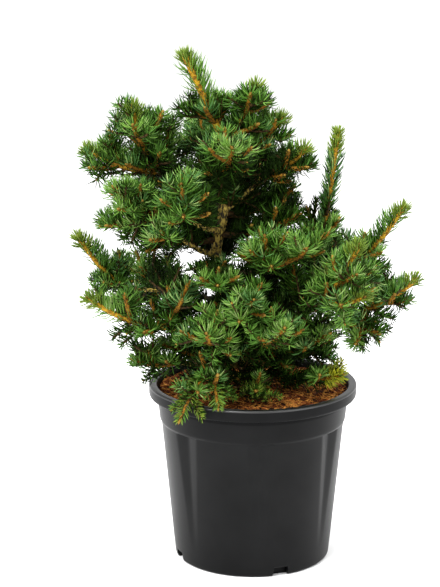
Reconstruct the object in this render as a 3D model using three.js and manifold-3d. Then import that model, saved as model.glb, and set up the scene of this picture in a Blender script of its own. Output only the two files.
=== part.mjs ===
// A potted dwarf spruce: a plastic nursery pot with its filling, a leaning trunk, boughs,
// and masses of needled shoots that grow on from them.
// Millimetres, +Z up. The origin is the middle of the pot's flat underside, and the front faces -Y.

import * as THREE from "three";
import { mergeVertices } from "three/addons/utils/BufferGeometryUtils.js";
import Module from "manifold-3d";

const wasm = await Module();
wasm.setup();

// Driving dimensions of the pot
const GAP = 0.3;
const POT_HEIGHT = 226;
const POT_FOOT_RADIUS = 98;
const POT_FOOT_ROUNDING = 2.5;
const POT_WALL = 2.5;
const POT_FLOOR = 3;
const BODY_TOP = 178;
const BODY_TOP_RADIUS = 115.4;
const COLLAR_STEP = 2.1;
const COLLAR_STEP_RISE = 3;
const COLLAR_TOP = 210;
const COLLAR_TOP_RADIUS = 120.5;
const RIM_RADIUS = 131;
const RIM_WIDTH = 8;
const RIM_ROUNDING = 2;
const AROUND = 49;

// Flutes pressed into the pot's side, and the drain notches in its foot
const FLUTE_COUNT = 7;
const FLUTE_DEPTH = 4.5;
const FLUTE_FOOT = 25;
const FLUTE_TURN = -84;
const NOTCH_COUNT = 4;
const NOTCH_TURN = -68.4;
const NOTCH_WIDTH = 24;
const NOTCH_TOP_WIDTH = 18;
const NOTCH_HEIGHT = 12;
const NOTCH_INNER_RADIUS = 88;
const NOTCH_OVERRUN = 10;

// Filling of the pot
const FILLING_EDGE = 216;
const FILLING_TOP = 222;
const FILLING_FLAT_RADIUS = 22;
const FILLING_AROUND = 32;
const FACET_SLACK = 0.3;

// Trunk: x, y, height and radius at each whorl of boughs, from the flat cut at soil level up
const TRUNK = [
  [0, 0, FILLING_TOP + GAP, 15],
  [-1, 0, 230, 11.8],
  [-4, -1, 244, 10.2],
  [-14, -2, 290, 9],
  [-38, 0, 350, 8],
  [-47, 0, 392, 7],
  [-38, 0, 440, 6],
  [-31, 0, 485, 5],
  [-36, 0, 520, 4],
  [-42, 0, 546, 3.4],
];
const TRUNK_TOP = TRUNK.at(-1)[2];
const TRUNK_SIDES = 10;

// Boughs
const BOUGH_TIP_RADIUS = 2.4;
const BOUGH_TAPER = 0.016;
const BOUGH_SIDES = 5;
const BOUGH_STEPS = 3;
const BOUGH_SAG = 0.06;

// Shoots: each carries teeth of needles on three sides of a slim core
const CORE_RADIUS = 2.8;
const CORE_TIP_RADIUS = 1.6;
const ROOT_RADIUS = 0.8;
const CORE_TWIST = 25;
const TOOTH_PITCH = 21;
const NEEDLE_LEAST = 15;
const NEEDLE_MOST = 27;
const NEEDLE_START = 11;
const NEEDLE_GROWTH = 0.19;
const NEEDLE_TILT_BASE = 62;
const NEEDLE_TILT_TIP = 34;
const TIP_SHARE = 0.75;
const STEM_SAG = 0.08;
const OWN_SAGS = { leader: 0, over_rim: -0.2 };
const SIDE_SAG = 0.05;
const SIDE_TILTS = [42, 60];
const SIDE_LENGTHS = [0.78, 1.12];
const SIDE_TURNS = [-0.3, 0.3];
const SIDE_PLACES = [0, 0.06];
const SIDE_LIFT = 0.25;
const SIDE_BARE = 0.35;
const STEM_BARE_ON_BOUGH = 0.05;
const STEM_BARE_ON_TRUNK = 0.3;

// Rules for leaving a shoot out
const CLOSE_SHARE = 0.5;
const LIMB_SHARE = 0.5;
const POT_SHARE = 0.6;
const TIP_GAP = 15;
const SPACE = 66;
const HANG_SHARE = 0.25;
const TEST_SWELL = 0.6;
const ROLL_TRIES = [0, 30, 60, 90];
const NARROW_TRIES = [1, 0.8, 0.62];

// Each mass of foliage: name, height where it leaves the trunk, tip of its bough (null where its
// stem springs from the trunk itself), its leading tips, shoots in a whorl, place of the second
// whorl along the stem (0 for none), length of its side shoots, and turn of its first side shoot
const MASSES = [
  ["leader", 546, null, [[-82, -12, 634]], 4, 0, 42, 20],
  ["top_right", 522, null, [[2, -8, 598]], 3, 0.62, 40, 60],
  ["right_top", 505, null, [[34, 10, 556]], 3, 0.7, 34, 90],
  ["upper_front", 500, null, [[-26, -92, 536]], 4, 0.65, 40, 40],
  ["right_upper", 446, [10, -4, 488], [[62, -14, 522]], 4, 0.5, 38, 80],
  ["right_mid", 440, null, [[46, 40, 458]], 3, 0.7, 34, 90],
  ["upper_left", 475, [-120, -12, 494], [[-146, -30, 574], [-202, 0, 518]], 4, 0.5, 46, 10],
  ["left_shelf", 430, [-112, -44, 448], [[-164, -80, 486], [-184, -10, 434]], 3, 0.5, 38, 60],
  ["front_bright", 420, [-80, -70, 452], [[-84, -128, 498]], 4, 0.4, 42, 30],
  ["left_inner", 410, null, [[-132, -30, 420]], 3, 0.72, 38, 60],
  ["left_mid", 388, [-94, -48, 426], [[-108, -100, 438]], 3, 0.6, 34, 0],
  ["far_left", 360, [-158, 16, 342], [[-214, -14, 410]], 3, 0, 38, 90],
  ["left_arm", 300, [-106, -64, 312], [[-196, -82, 350], [-78, -84, 370]], 3, 0.45, 40, 75],
  ["left_low", 262, null, [[-108, -44, 284]], 3, 0.66, 38, 30],
  ["rim_left", 250, [-92, -40, 262], [[-142, -66, 270]], 3, 0.5, 30, 60],
  ["over_rim", 240, [-48, -84, 256], [[-86, -131, 218], [-42, -130, 234]], 2, 0.5, 30, 90],
  ["front_low", 290, [-44, -84, 300], [[-54, -146, 324]], 4, 0.4, 40, 45],
  ["front_mid", 385, null, [[-42, -120, 378]], 4, 0.7, 28, 45],
  ["front_right", 335, null, [[0, -146, 366]], 4, 0.7, 40, 0],
  ["right_front_low", 285, null, [[36, -142, 330]], 4, 0.7, 40, 45],
  ["centre_upright", 370, [18, -62, 386], [[14, -90, 428], [86, -78, 430]], 3, 0.45, 42, 0],
  ["right_heads", 415, null, [[52, -20, 442]], 4, 0.7, 38, 0],
  ["upright", 340, [84, 4, 404], [[103, 0, 540]], 4, 0, 40, 30],
  ["right_up", 320, [128, -16, 386], [[182, -20, 450]], 3, 0, 34, 80],
  ["right_arm", 300, [84, -82, 350], [[124, -104, 420], [128, -124, 364]], 4, 0.45, 42, 80],
  ["right_mid_front", 310, null, [[80, -58, 366]], 3, 0.7, 40, 0],
  ["right_tip", 280, [138, -26, 326], [[196, -44, 366], [127, -66, 296]], 3, 0.4, 34, 60],
  ["right_low", 258, null, [[90, -56, 300]], 3, 0.66, 38, 45],
  ["yellow_low", 240, null, [[106, -58, 250]], 2, 0.75, 30, 90],
  ["soil_front", 236, null, [[4, -100, 242]], 2, 0.6, 30, 20],
  ["back_top", 500, null, [[-76, 112, 544]], 3, 0.6, 44, 45],
  ["back_upper_left", 450, [-110, 60, 462], [[-146, 128, 492]], 3, 0.4, 44, 45],
  ["back_upper_right", 455, null, [[18, 126, 502]], 3, 0.6, 44, 45],
  ["back_left", 330, [-100, 72, 336], [[-176, 118, 354], [-146, 126, 304]], 3, 0.45, 44, 45],
  ["back_mid", 380, [-34, 96, 398], [[-40, 178, 430]], 3, 0.4, 44, 45],
  ["back_right", 335, [84, 70, 346], [[102, 148, 404], [162, 110, 328]], 3, 0.45, 44, 45],
  ["back_low", 270, [16, 94, 286], [[28, 168, 304]], 3, 0.4, 42, 45],
];

// Colours and finishes
const PLASTIC = new THREE.MeshStandardMaterial({ color: "#3a3c3f", roughness: 0.5, metalness: 0 });
const FILLING = new THREE.MeshStandardMaterial({ color: "#6d4526", roughness: 1, metalness: 0 });
const BARK = new THREE.MeshStandardMaterial({ color: "#7b6444", roughness: 0.95, metalness: 0 });
const GREEN = new THREE.MeshStandardMaterial({ color: "#55804a", roughness: 0.7, metalness: 0 });
const YELLOW = new THREE.MeshStandardMaterial({ color: "#a9a24c", roughness: 0.7, metalness: 0 });
const YELLOW_MASSES = ["yellow_low"];

const UP = new THREE.Vector3(0, 0, 1);
const MERGE_WITHIN = 1e-3;
const NEARLY_UPRIGHT = 0.15;
const radians = THREE.MathUtils.degToRad;
const mix = THREE.MathUtils.lerp;
const clamp = THREE.MathUtils.clamp;

// Closed solids

// A solid from a closed geometry: corners at one place become one, and flat triangles go
function solidFrom(geometry) {
  const bare = new THREE.BufferGeometry();
  bare.setAttribute("position", geometry.getAttribute("position"));
  bare.setIndex(geometry.index);
  const merged = mergeVertices(bare, MERGE_WITHIN);
  const triangles = [];
  for (let i = 0; i < merged.index.count; i += 3) {
    const [a, b, c] = [merged.index.getX(i), merged.index.getX(i + 1), merged.index.getX(i + 2)];
    if (a !== b && b !== c && c !== a) triangles.push(a, b, c);
  }
  return new wasm.Manifold(new wasm.Mesh({
    numProp: 3,
    vertProperties: new Float32Array(merged.getAttribute("position").array),
    triVerts: new Uint32Array(triangles),
  }));
}

// The largest body of a solid, with no loose scrap and no sealed hollow
function largestBody(solid) {
  const bodies = solid.decompose();
  return bodies.reduce((best, body) => (body.volume() > best.volume() ? body : best));
}

function meshFrom(name, solid, material) {
  const { vertProperties, triVerts } = solid.getMesh();
  const geometry = new THREE.BufferGeometry();
  geometry.setAttribute("position", new THREE.BufferAttribute(vertProperties, 3));
  geometry.setIndex(new THREE.BufferAttribute(triVerts, 1));
  geometry.computeVertexNormals();
  const mesh = new THREE.Mesh(geometry, material);
  mesh.name = name;
  return mesh;
}

// A profile of [radius, height] points turned round the vertical axis
function turned(profile, around) {
  const points = profile.map(([radius, height]) => new THREE.Vector2(radius, height));
  const geometry = new THREE.LatheGeometry(points, around);
  geometry.rotateX(Math.PI / 2);
  return geometry;
}

// Pot

function bodyRadius(height) {
  return mix(POT_FOOT_RADIUS, BODY_TOP_RADIUS, height / BODY_TOP);
}

// Presses the flutes into a turned wall: one vertical line of vertices moves in for each flute
function pressFlutes(geometry) {
  const position = geometry.getAttribute("position");
  for (let i = 0; i < position.count; i += 1) {
    const [x, y, z] = [position.getX(i), position.getY(i), position.getZ(i)];
    const line = Math.round((Math.atan2(y, x) / (2 * Math.PI)) * AROUND);
    const pressed = line % (AROUND / FLUTE_COUNT) === 0 && z <= BODY_TOP;
    const depth = pressed ? FLUTE_DEPTH * clamp((z - FLUTE_FOOT) / (BODY_TOP - FLUTE_FOOT), 0, 1) : 0;
    const share = 1 - depth / Math.max(Math.hypot(x, y), depth + 1);
    position.setXYZ(i, x * share, y * share, z);
  }
  return geometry.rotateZ(radians(FLUTE_TURN));
}

function notchCutter(turn) {
  const shape = new THREE.Shape();
  shape.moveTo(-NOTCH_WIDTH / 2, -NOTCH_OVERRUN);
  shape.lineTo(NOTCH_WIDTH / 2, -NOTCH_OVERRUN);
  shape.lineTo(NOTCH_TOP_WIDTH / 2, NOTCH_HEIGHT);
  shape.lineTo(-NOTCH_TOP_WIDTH / 2, NOTCH_HEIGHT);
  shape.closePath();
  const depth = POT_FOOT_RADIUS + NOTCH_OVERRUN - NOTCH_INNER_RADIUS;
  const geometry = new THREE.ExtrudeGeometry(shape, { depth, bevelEnabled: false });
  geometry.translate(0, 0, NOTCH_INNER_RADIUS);
  geometry.rotateX(Math.PI / 2);
  geometry.rotateZ(turn + Math.PI / 2);
  return solidFrom(geometry);
}

function pot() {
  const rimInner = RIM_RADIUS - RIM_WIDTH;
  const foot = POT_FOOT_RADIUS;
  const profile = [
    [0, 0],
    [foot - POT_FOOT_ROUNDING, 0],
    [foot, POT_FOOT_ROUNDING],
    [bodyRadius(FLUTE_FOOT), FLUTE_FOOT],
    [BODY_TOP_RADIUS, BODY_TOP],
    [BODY_TOP_RADIUS + COLLAR_STEP, BODY_TOP + COLLAR_STEP_RISE],
    [COLLAR_TOP_RADIUS, COLLAR_TOP],
    [RIM_RADIUS - RIM_ROUNDING / 2, COLLAR_TOP + 1],
    [RIM_RADIUS, COLLAR_TOP + 1 + RIM_ROUNDING],
    [RIM_RADIUS, POT_HEIGHT - 2 * RIM_ROUNDING],
    [RIM_RADIUS - RIM_ROUNDING, POT_HEIGHT],
    [rimInner, POT_HEIGHT],
    [rimInner - RIM_ROUNDING, POT_HEIGHT - RIM_ROUNDING],
    [COLLAR_TOP_RADIUS - POT_WALL, COLLAR_TOP],
    [BODY_TOP_RADIUS - POT_WALL, BODY_TOP],
    [bodyRadius(FLUTE_FOOT) - POT_WALL, FLUTE_FOOT],
    [bodyRadius(POT_FLOOR) - POT_WALL, POT_FLOOR],
    [0, POT_FLOOR],
  ];
  let solid = solidFrom(pressFlutes(turned(profile, AROUND)));
  for (let i = 0; i < NOTCH_COUNT; i += 1) {
    solid = solid.subtract(notchCutter(radians(NOTCH_TURN + i * (360 / NOTCH_COUNT))));
  }
  return solid;
}

function filling() {
  const clear = POT_WALL + GAP + FACET_SLACK;
  const rimInner = RIM_RADIUS - RIM_WIDTH - RIM_ROUNDING;
  const edgeShare = (FILLING_EDGE - COLLAR_TOP) / (POT_HEIGHT - RIM_ROUNDING - COLLAR_TOP);
  const edge = mix(COLLAR_TOP_RADIUS - POT_WALL, rimInner, edgeShare) - GAP - FACET_SLACK;
  const profile = [
    [0, POT_FLOOR + GAP],
    [bodyRadius(POT_FLOOR) - clear, POT_FLOOR + GAP],
    [bodyRadius(FLUTE_FOOT) - clear, FLUTE_FOOT],
    [BODY_TOP_RADIUS - clear - FLUTE_DEPTH, BODY_TOP],
    [COLLAR_TOP_RADIUS - clear, COLLAR_TOP],
    [edge, FILLING_EDGE],
    [mix(edge, FILLING_FLAT_RADIUS, 0.4), mix(FILLING_EDGE, FILLING_TOP, 0.6)],
    [FILLING_FLAT_RADIUS, FILLING_TOP],
    [0, FILLING_TOP],
  ];
  return solidFrom(turned(profile, FILLING_AROUND));
}

// Limbs

// The place on the trunk's axis at one height
function trunkAt(height) {
  const above = Math.max(1, TRUNK.findIndex((station) => station[2] >= height));
  const [low, high] = [TRUNK[above - 1], TRUNK[above]];
  const share = (height - low[2]) / (high[2] - low[2]);
  return new THREE.Vector3(...low).lerp(new THREE.Vector3(...high), share);
}

// The trunk, swollen for tests. Its rings are level, so that its foot and its top are flat.
function trunkSolid(swell = 0) {
  const last = TRUNK.length - 1;
  const geometry = new THREE.CylinderGeometry(1, 1, 1, TRUNK_SIDES, last);
  geometry.rotateX(Math.PI / 2);
  const position = geometry.getAttribute("position");
  for (let i = 0; i < position.count; i += 1) {
    const row = Math.round((position.getZ(i) + 0.5) * last);
    const [x, y, z, radius] = TRUNK[row];
    const wide = radius + swell;
    const top = row === last ? swell : 0;
    position.setXYZ(i, x + position.getX(i) * wide, y + position.getY(i) * wide, z + top);
  }
  return solidFrom(geometry);
}

function arc(start, end, sag) {
  const middle = start.clone().lerp(end, 0.5);
  middle.z -= 2 * sag * start.distanceTo(end);
  return new THREE.QuadraticBezierCurve3(start, middle, end);
}

// The way that a curve runs at one place, as a unit vector
function wayAt(curve, t) {
  const first = curve.v1.clone().sub(curve.v0).multiplyScalar(1 - t);
  return curve.v2.clone().sub(curve.v1).multiplyScalar(t).add(first).normalize();
}

// Two unit vectors across a way: one level, and one square to it and to the way
function acrossWay(way) {
  const level = way.clone().cross(UP);
  if (level.length() > NEARLY_UPRIGHT) level.normalize();
  else level.set(1, 0, 0);
  return [level, level.clone().cross(way).normalize()];
}

function boughCurve(mass) {
  return arc(trunkAt(mass.height), mass.boughTip, BOUGH_SAG);
}

// A bough from the trunk's axis to its tip: a cylinder bent along its curve, tapering all the way
function boughSolid(mass, swell = 0) {
  const curve = boughCurve(mass);
  const length = curve.v0.distanceTo(curve.v2);
  const geometry = new THREE.CylinderGeometry(1, 1, 1, BOUGH_SIDES, BOUGH_STEPS);
  geometry.rotateX(Math.PI / 2);
  const position = geometry.getAttribute("position");
  for (let i = 0; i < position.count; i += 1) {
    const t = position.getZ(i) + 0.5;
    const way = wayAt(curve, t);
    const [level, over] = acrossWay(way);
    const radius = BOUGH_TIP_RADIUS + BOUGH_TAPER * length * (1 - t) + swell;
    const point = curve.getPoint(t);
    point.addScaledVector(level, position.getX(i) * radius);
    point.addScaledVector(over, -position.getY(i) * radius);
    if (t === 1) point.addScaledVector(way, swell);
    position.setXYZ(i, point.x, point.y, point.z);
  }
  return solidFrom(geometry);
}

// Growth of the shoots

// A seeded generator of even numbers from 0 to 1
function dice(seed) {
  let state = seed >>> 0;
  return () => {
    state = (state + 0x6d2b79f5) >>> 0;
    let mixed = Math.imul(state ^ (state >>> 15), state | 1);
    mixed ^= mixed + Math.imul(mixed ^ (mixed >>> 7), mixed | 61);
    return ((mixed ^ (mixed >>> 14)) >>> 0) / 4294967296;
  };
}

function seedOf(name) {
  return [...name].reduce((sum, letter, i) => sum + letter.charCodeAt(0) * (i + 1), 0);
}

function shootAlong(mass, order, curve, length, bare) {
  const needle = clamp(NEEDLE_START + NEEDLE_GROWTH * length, NEEDLE_LEAST, NEEDLE_MOST);
  const reach = needle * Math.sin(radians(NEEDLE_TILT_BASE));
  return { mass, order, curve, length, bare, needle, reach };
}

// A shoot that leaves a stem at t, tilted off its way and lifted towards the light
function sideShoot(mass, stem, t, roll, tilt, length) {
  const start = stem.getPoint(t);
  const way = wayAt(stem, t);
  const [level, over] = acrossWay(way);
  const out = level.multiplyScalar(Math.cos(roll)).addScaledVector(over, Math.sin(roll));
  const heading = way.multiplyScalar(Math.cos(tilt)).addScaledVector(out, Math.sin(tilt));
  heading.addScaledVector(UP, SIDE_LIFT).normalize();
  const end = start.clone().addScaledVector(heading, length);
  return shootAlong(mass, 1, arc(start, end, SIDE_SAG), length, SIDE_BARE);
}

// The leading shoots of a mass: its stem, and a second one that forks from it near its foot
function leadingShoots(mass) {
  const foot = mass.boughTip ?? trunkAt(mass.height);
  const bare = mass.boughTip || mass.height === TRUNK_TOP ? STEM_BARE_ON_BOUGH : STEM_BARE_ON_TRUNK;
  const sag = OWN_SAGS[mass.name] ?? STEM_SAG;
  return mass.tips.map((tip, i) => {
    const start = i === 0 ? foot : arc(foot, mass.tips[0], sag).getPoint(bare);
    return shootAlong(mass.name, 0, arc(start, tip, sag), start.distanceTo(tip), bare);
  });
}

// The side shoots of a mass, in whorls along its leading shoots
function sideShoots(mass, leaders) {
  const roll = dice(seedOf(mass.name));
  const between = ([least, most]) => least + (most - least) * roll();
  const shoots = [];
  leaders.forEach((leader, i) => {
    const places = i > 0 ? [mass.secondWhorl] : [leader.bare, mass.secondWhorl];
    places.filter((place) => place > 0).forEach((place, whorl) => {
      for (let k = 0; k < mass.sides; k += 1) {
        const evenly = (2 * Math.PI * (k + 0.5 * whorl)) / mass.sides;
        const turn = radians(mass.turn) + evenly + between(SIDE_TURNS);
        const tilt = radians(between(SIDE_TILTS));
        const length = mass.sideLength * between(SIDE_LENGTHS);
        const t = place + between(SIDE_PLACES);
        shoots.push(sideShoot(mass.name, leader.curve, t, turn, tilt, length));
      }
    });
  });
  return shoots;
}

// Shortest distance between the stretches p1-q1 and p2-q2
function stretchGap(p1, q1, p2, q2) {
  const [d1, d2, r] = [q1.clone().sub(p1), q2.clone().sub(p2), p1.clone().sub(p2)];
  const [a, e, f, c, b] = [d1.dot(d1), d2.dot(d2), d2.dot(r), d1.dot(r), d1.dot(d2)];
  const spread = a * e - b * b;
  let s = spread > 1e-9 ? clamp((b * f - c * e) / spread, 0, 1) : 0;
  let t = (b * s + f) / e;
  if (t < 0) {
    t = 0;
    s = clamp(-c / a, 0, 1);
  } else if (t > 1) {
    t = 1;
    s = clamp((b - c) / a, 0, 1);
  }
  return p1.clone().addScaledVector(d1, s).distanceTo(p2.clone().addScaledVector(d2, t));
}

function needledStretch(shoot) {
  return [shoot.curve.getPoint(shoot.bare), shoot.curve.getPoint(1)];
}

// Straight stretches that stand for the trunk and the boughs in the spacing rule
function limbStretches(masses) {
  const stretches = [];
  for (let i = 1; i < TRUNK.length; i += 1) {
    const [low, high] = [TRUNK[i - 1], TRUNK[i]];
    stretches.push({ from: new THREE.Vector3(...low), to: new THREE.Vector3(...high), radius: low[3] });
  }
  for (const mass of masses.filter(({ boughTip }) => boughTip)) {
    stretches.push({ from: trunkAt(mass.height), to: mass.boughTip, radius: BOUGH_TIP_RADIUS });
  }
  return stretches;
}

// Whether a shoot would touch the filling or the pot's rim
function touchesPot(from, to, reach) {
  const low = Math.min(from.z, to.z) - POT_SHARE * reach;
  const out = Math.max(Math.hypot(from.x, from.y), Math.hypot(to.x, to.y));
  return low < FILLING_TOP && out < RIM_RADIUS + reach;
}

// Whether a shoot stands too near another of its own mass, or reaches into another mass's space
function crowds(shoot, from, to, other) {
  const [otherFrom, otherTo] = needledStretch(other);
  if (other.mass === shoot.mass) return otherTo.distanceTo(to) < TIP_GAP;
  return stretchGap(from, to, otherFrom, otherTo) < CLOSE_SHARE * (shoot.reach + other.reach);
}

// Whether a shoot's needles would leave the space round its mass's leading shoots
function leavesSpace(shoot, to, leaders) {
  const gaps = leaders.map((leader) => {
    const nearest = new THREE.Vector3();
    new THREE.Line3(...needledStretch(leader)).closestPointToPoint(to, true, nearest);
    return nearest.distanceTo(to);
  });
  return Math.min(...gaps) + shoot.reach > SPACE;
}

// Whether a side shoot keeps to its own space, clear of its neighbours, the limbs and the pot.
// Shoots grow towards the light, so one that would hang is left out too.
function hasRoom(shoot, leaders, kept, limbs) {
  const [from, to] = needledStretch(shoot);
  if (shoot.curve.v0.z - to.z > HANG_SHARE * shoot.length) return false;
  if (touchesPot(from, to, shoot.reach) || leavesSpace(shoot, to, leaders)) return false;
  if (kept.some((other) => crowds(shoot, from, to, other))) return false;
  const berth = LIMB_SHARE * shoot.reach;
  return limbs.every((limb) => stretchGap(from, to, limb.from, limb.to) >= limb.radius + berth);
}

// All the shoots that the rule keeps: every leading shoot first, then side shoots that have room
function grow(masses) {
  const limbs = limbStretches(masses);
  const leaders = masses.map(leadingShoots);
  const kept = leaders.flat();
  masses.forEach((mass, i) => {
    for (const shoot of sideShoots(mass, leaders[i])) {
      if (hasRoom(shoot, leaders[i], kept, limbs)) kept.push(shoot);
    }
  });
  return kept;
}

// One shoot as a solid: a slim three-sided core with a forward tooth of needles on every face of
// its needled stretch. The foot of a side shoot is slim, so that it stays inside its stem.
function sprayGeometry(shoot, roll, narrow, swell) {
  const { curve, order, length, bare } = shoot;
  const whorlRoom = order === 0 ? TOOTH_PITCH / length : 0;
  const toothed = Math.max(2, Math.round((length * (1 - bare - whorlRoom)) / TOOTH_PITCH));
  const first = bare + whorlRoom;
  const stations = [0, ...Array.from({ length: toothed + 1 }, (_, j) => mix(first, 1, j / toothed))];
  const points = [];
  const triangles = [];
  const put = (t, angle, radius, ahead) => {
    const way = wayAt(curve, t);
    const [level, over] = acrossWay(way);
    const point = curve.getPoint(t).addScaledVector(way, ahead);
    point.addScaledVector(level, radius * Math.cos(angle)).addScaledVector(over, -radius * Math.sin(angle));
    return points.push(point) - 1;
  };
  const rings = stations.map((t, row) => {
    const slim = row === 0 && order > 0;
    const radius = (slim ? ROOT_RADIUS : mix(CORE_RADIUS, CORE_TIP_RADIUS, t)) + swell;
    return [0, 1, 2].map((k) => put(t, roll + radians(row * CORE_TWIST + k * 120), radius, 0));
  });
  for (let k = 0; k < 3; k += 1) {
    const next = (k + 1) % 3;
    for (let row = 0; row < toothed + 1; row += 1) {
      const face = [rings[row][k], rings[row][next], rings[row + 1][next], rings[row + 1][k]];
      if (row === 0) {
        triangles.push(face[0], face[1], face[2], face[0], face[2], face[3]);
        continue;
      }
      const middle = (stations[row] + stations[row + 1]) / 2;
      const tilt = radians(mix(NEEDLE_TILT_BASE, NEEDLE_TILT_TIP, middle));
      const needle = shoot.needle * narrow + swell;
      const angle = roll + radians((row + 0.5) * CORE_TWIST + k * 120 + 60);
      const apex = put(middle, angle, needle * Math.sin(tilt), needle * Math.cos(tilt));
      face.forEach((from, side) => triangles.push(from, face[(side + 1) % 4], apex));
    }
  }
  const tip = put(1, 0, 0, TIP_SHARE * shoot.needle + swell);
  for (let k = 0; k < 3; k += 1) triangles.push(rings.at(-1)[k], rings.at(-1)[(k + 1) % 3], tip);
  triangles.push(rings[0][2], rings[0][1], rings[0][0]);
  const geometry = new THREE.BufferGeometry().setFromPoints(points);
  geometry.setIndex(triangles);
  return geometry;
}

function spraySolid(shoot, roll = 0, narrow = 1, swell = 0) {
  return solidFrom(sprayGeometry(shoot, roll, narrow, swell));
}

function boxesMeet(a, b) {
  const [boxA, boxB] = [a.boundingBox(), b.boundingBox()];
  return [0, 1, 2].every((axis) => boxA.min[axis] <= boxB.max[axis] && boxB.min[axis] <= boxA.max[axis]);
}

function meets(solid, other) {
  return boxesMeet(solid, other) && !solid.intersect(other).isEmpty();
}

// A spray turned, then narrowed, until it is clear of everything but the limb that bears it,
// where it is cut off a gap away
function fittedSpray(shoot, support, obstacles) {
  for (const narrow of NARROW_TRIES) {
    for (const roll of ROLL_TRIES) {
      const test = spraySolid(shoot, radians(roll), narrow, TEST_SWELL).subtract(support);
      if (!obstacles.some((other) => meets(test, other))) {
        return spraySolid(shoot, radians(roll), narrow).subtract(support);
      }
    }
  }
  return null;
}

// The whole plant

function buildPlant() {
  const plant = new THREE.Group();
  const masses = MASSES.map(([name, height, boughTip, tips, sides, secondWhorl, sideLength, turn]) => ({
    name,
    height,
    boughTip: boughTip && new THREE.Vector3(...boughTip),
    tips: tips.map((tip) => new THREE.Vector3(...tip)),
    sides,
    secondWhorl,
    sideLength,
    turn,
  }));
  const potSolid = pot();
  const fillingSolid = filling();
  const clearTrunk = trunkSolid(GAP);
  plant.add(meshFrom("pot", potSolid, PLASTIC));
  plant.add(meshFrom("pot_filling", fillingSolid, FILLING));
  plant.add(meshFrom("trunk", trunkSolid(), BARK));

  const clearBoughs = new Map();
  for (const mass of masses.filter(({ boughTip }) => boughTip)) {
    const bough = largestBody(boughSolid(mass).subtract(clearTrunk));
    clearBoughs.set(mass.name, boughSolid(mass, GAP).subtract(clearTrunk));
    plant.add(meshFrom(`bough_${mass.name}`, bough, BARK));
  }

  const placed = [];
  for (const shoot of grow(masses)) {
    const support = clearBoughs.get(shoot.mass) ?? clearTrunk;
    const allLimbs = [clearTrunk, ...clearBoughs.values()];
    const limbs = allLimbs.filter((limb) => shoot.order > 0 || limb !== support);
    const others = placed.filter(({ mass }) => mass !== shoot.mass).map(({ solid }) => solid);
    const solid = fittedSpray(shoot, support, [potSolid, fillingSolid, ...limbs, ...others]);
    if (solid) placed.push({ mass: shoot.mass, solid });
    else if (shoot.order === 0) throw new Error(`${shoot.mass} has no room for a leading shoot`);
  }

  for (const mass of masses) {
    const own = placed.filter((entry) => entry.mass === mass.name).map(({ solid }) => solid);
    const joined = own.reduce((sum, solid) => sum.add(solid));
    const material = YELLOW_MASSES.includes(mass.name) ? YELLOW : GREEN;
    plant.add(meshFrom(`mass_${mass.name}`, largestBody(joined), material));
  }
  return plant;
}

export default buildPlant();
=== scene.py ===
# The looks of the potted dwarf spruce: pot, filling, bark, twigs, buds and needles.
# Lengths here are in millimetres, as in the part's source, and become metres in piece().
import math
from collections import namedtuple

import bpy
import numpy as np
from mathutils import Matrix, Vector, noise
from numpy.linalg import norm


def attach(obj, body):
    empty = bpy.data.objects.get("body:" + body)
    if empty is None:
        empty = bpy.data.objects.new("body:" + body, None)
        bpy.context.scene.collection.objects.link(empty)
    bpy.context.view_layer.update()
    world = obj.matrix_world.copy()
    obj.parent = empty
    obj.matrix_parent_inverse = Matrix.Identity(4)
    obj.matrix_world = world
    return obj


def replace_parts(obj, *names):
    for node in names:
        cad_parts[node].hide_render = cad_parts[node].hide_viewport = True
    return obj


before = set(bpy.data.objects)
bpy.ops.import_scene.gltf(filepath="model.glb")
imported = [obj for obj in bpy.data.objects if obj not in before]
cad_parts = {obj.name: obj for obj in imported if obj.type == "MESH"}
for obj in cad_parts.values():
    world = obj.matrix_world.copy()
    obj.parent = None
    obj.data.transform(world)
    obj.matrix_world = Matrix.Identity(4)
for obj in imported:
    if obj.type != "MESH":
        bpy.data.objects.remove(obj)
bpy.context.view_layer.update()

MM = 0.001

# Camera: place in metres, pitch and turn in degrees
CAMERA_PLACE = (0, -2.377, 0.915)
CAMERA_PITCH = -13.608
CAMERA_TURN = 0.994
CAMERA_LENS = 120
CAMERA_REACH = 50

# Studio
SKY_STRENGTH = 1.15
FLOOR_HALF = 6

# Pot
POT_HEIGHT = 226
POT_FOOT_RADIUS = 98
POT_FOOT_ROUNDING = 2.5
POT_WALL = 2.5
BODY_TOP = 178
BODY_TOP_RADIUS = 115.4
COLLAR_STEP = 2.1
COLLAR_STEP_RISE = 3
COLLAR_TOP = 210
COLLAR_TOP_RADIUS = 120.5
RIM_RADIUS = 131
RIM_WIDTH = 8
RIM_ROUNDING = 2
RIM_EDGE = 2.5
FLUTE_COUNT = 7
FLUTE_DEPTH = 4.5
FLUTE_FOOT = 25
FLUTE_TURN = -84
FLUTE_HALF_WIDTHS = (3.2, 8.0)
FLUTE_FLAT = 1.12
FLUTE_SOFTNESS = 0.12
NOTCH_COUNT = 4
NOTCH_TURN = -68.4
NOTCH_WIDTH = 24
NOTCH_TOP_WIDTH = 18
NOTCH_HEIGHT = 12
NOTCH_INNER_RADIUS = 88
NOTCH_PAST = 10
PROFILE_ROUNDING = 1.4
CUT_SHARE = 0.45
WALL_STEP = 4
WALL_SIDES = 336
WALL_FROM = 90
# Tops of the bands of the pot's side, and the gloss of each band, from the body to the rim's edge. The lower
# gloss of the collar and of the two bands under the rim is painted shade under the rim, darkest just below
# it; the high gloss of the rim's edge is a painted highlight
POT_BANDS = (179, 203, 207, 211, 223.3)
POT_GLOSS_AND_PAINTED_LIGHT = (0.085, 0.072, 0.04, 0.005, 0.058, 0.6)

# Filling
FILLING_EDGE = 216
FILLING_TOP = 222
FILLING_FLAT_RADIUS = 22
FILLING_HALFWAY = (0.7, 219)
FILLING_WAVES = ((0.045, 2.2), (0.16, 1.6), (0.5, 1.1))
FILLING_REACH = 119
FILLING_RINGS = 64
FILLING_SIDES = 220
FILLING_LOW = 205
FILLING_TAPER = 0.97
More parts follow.
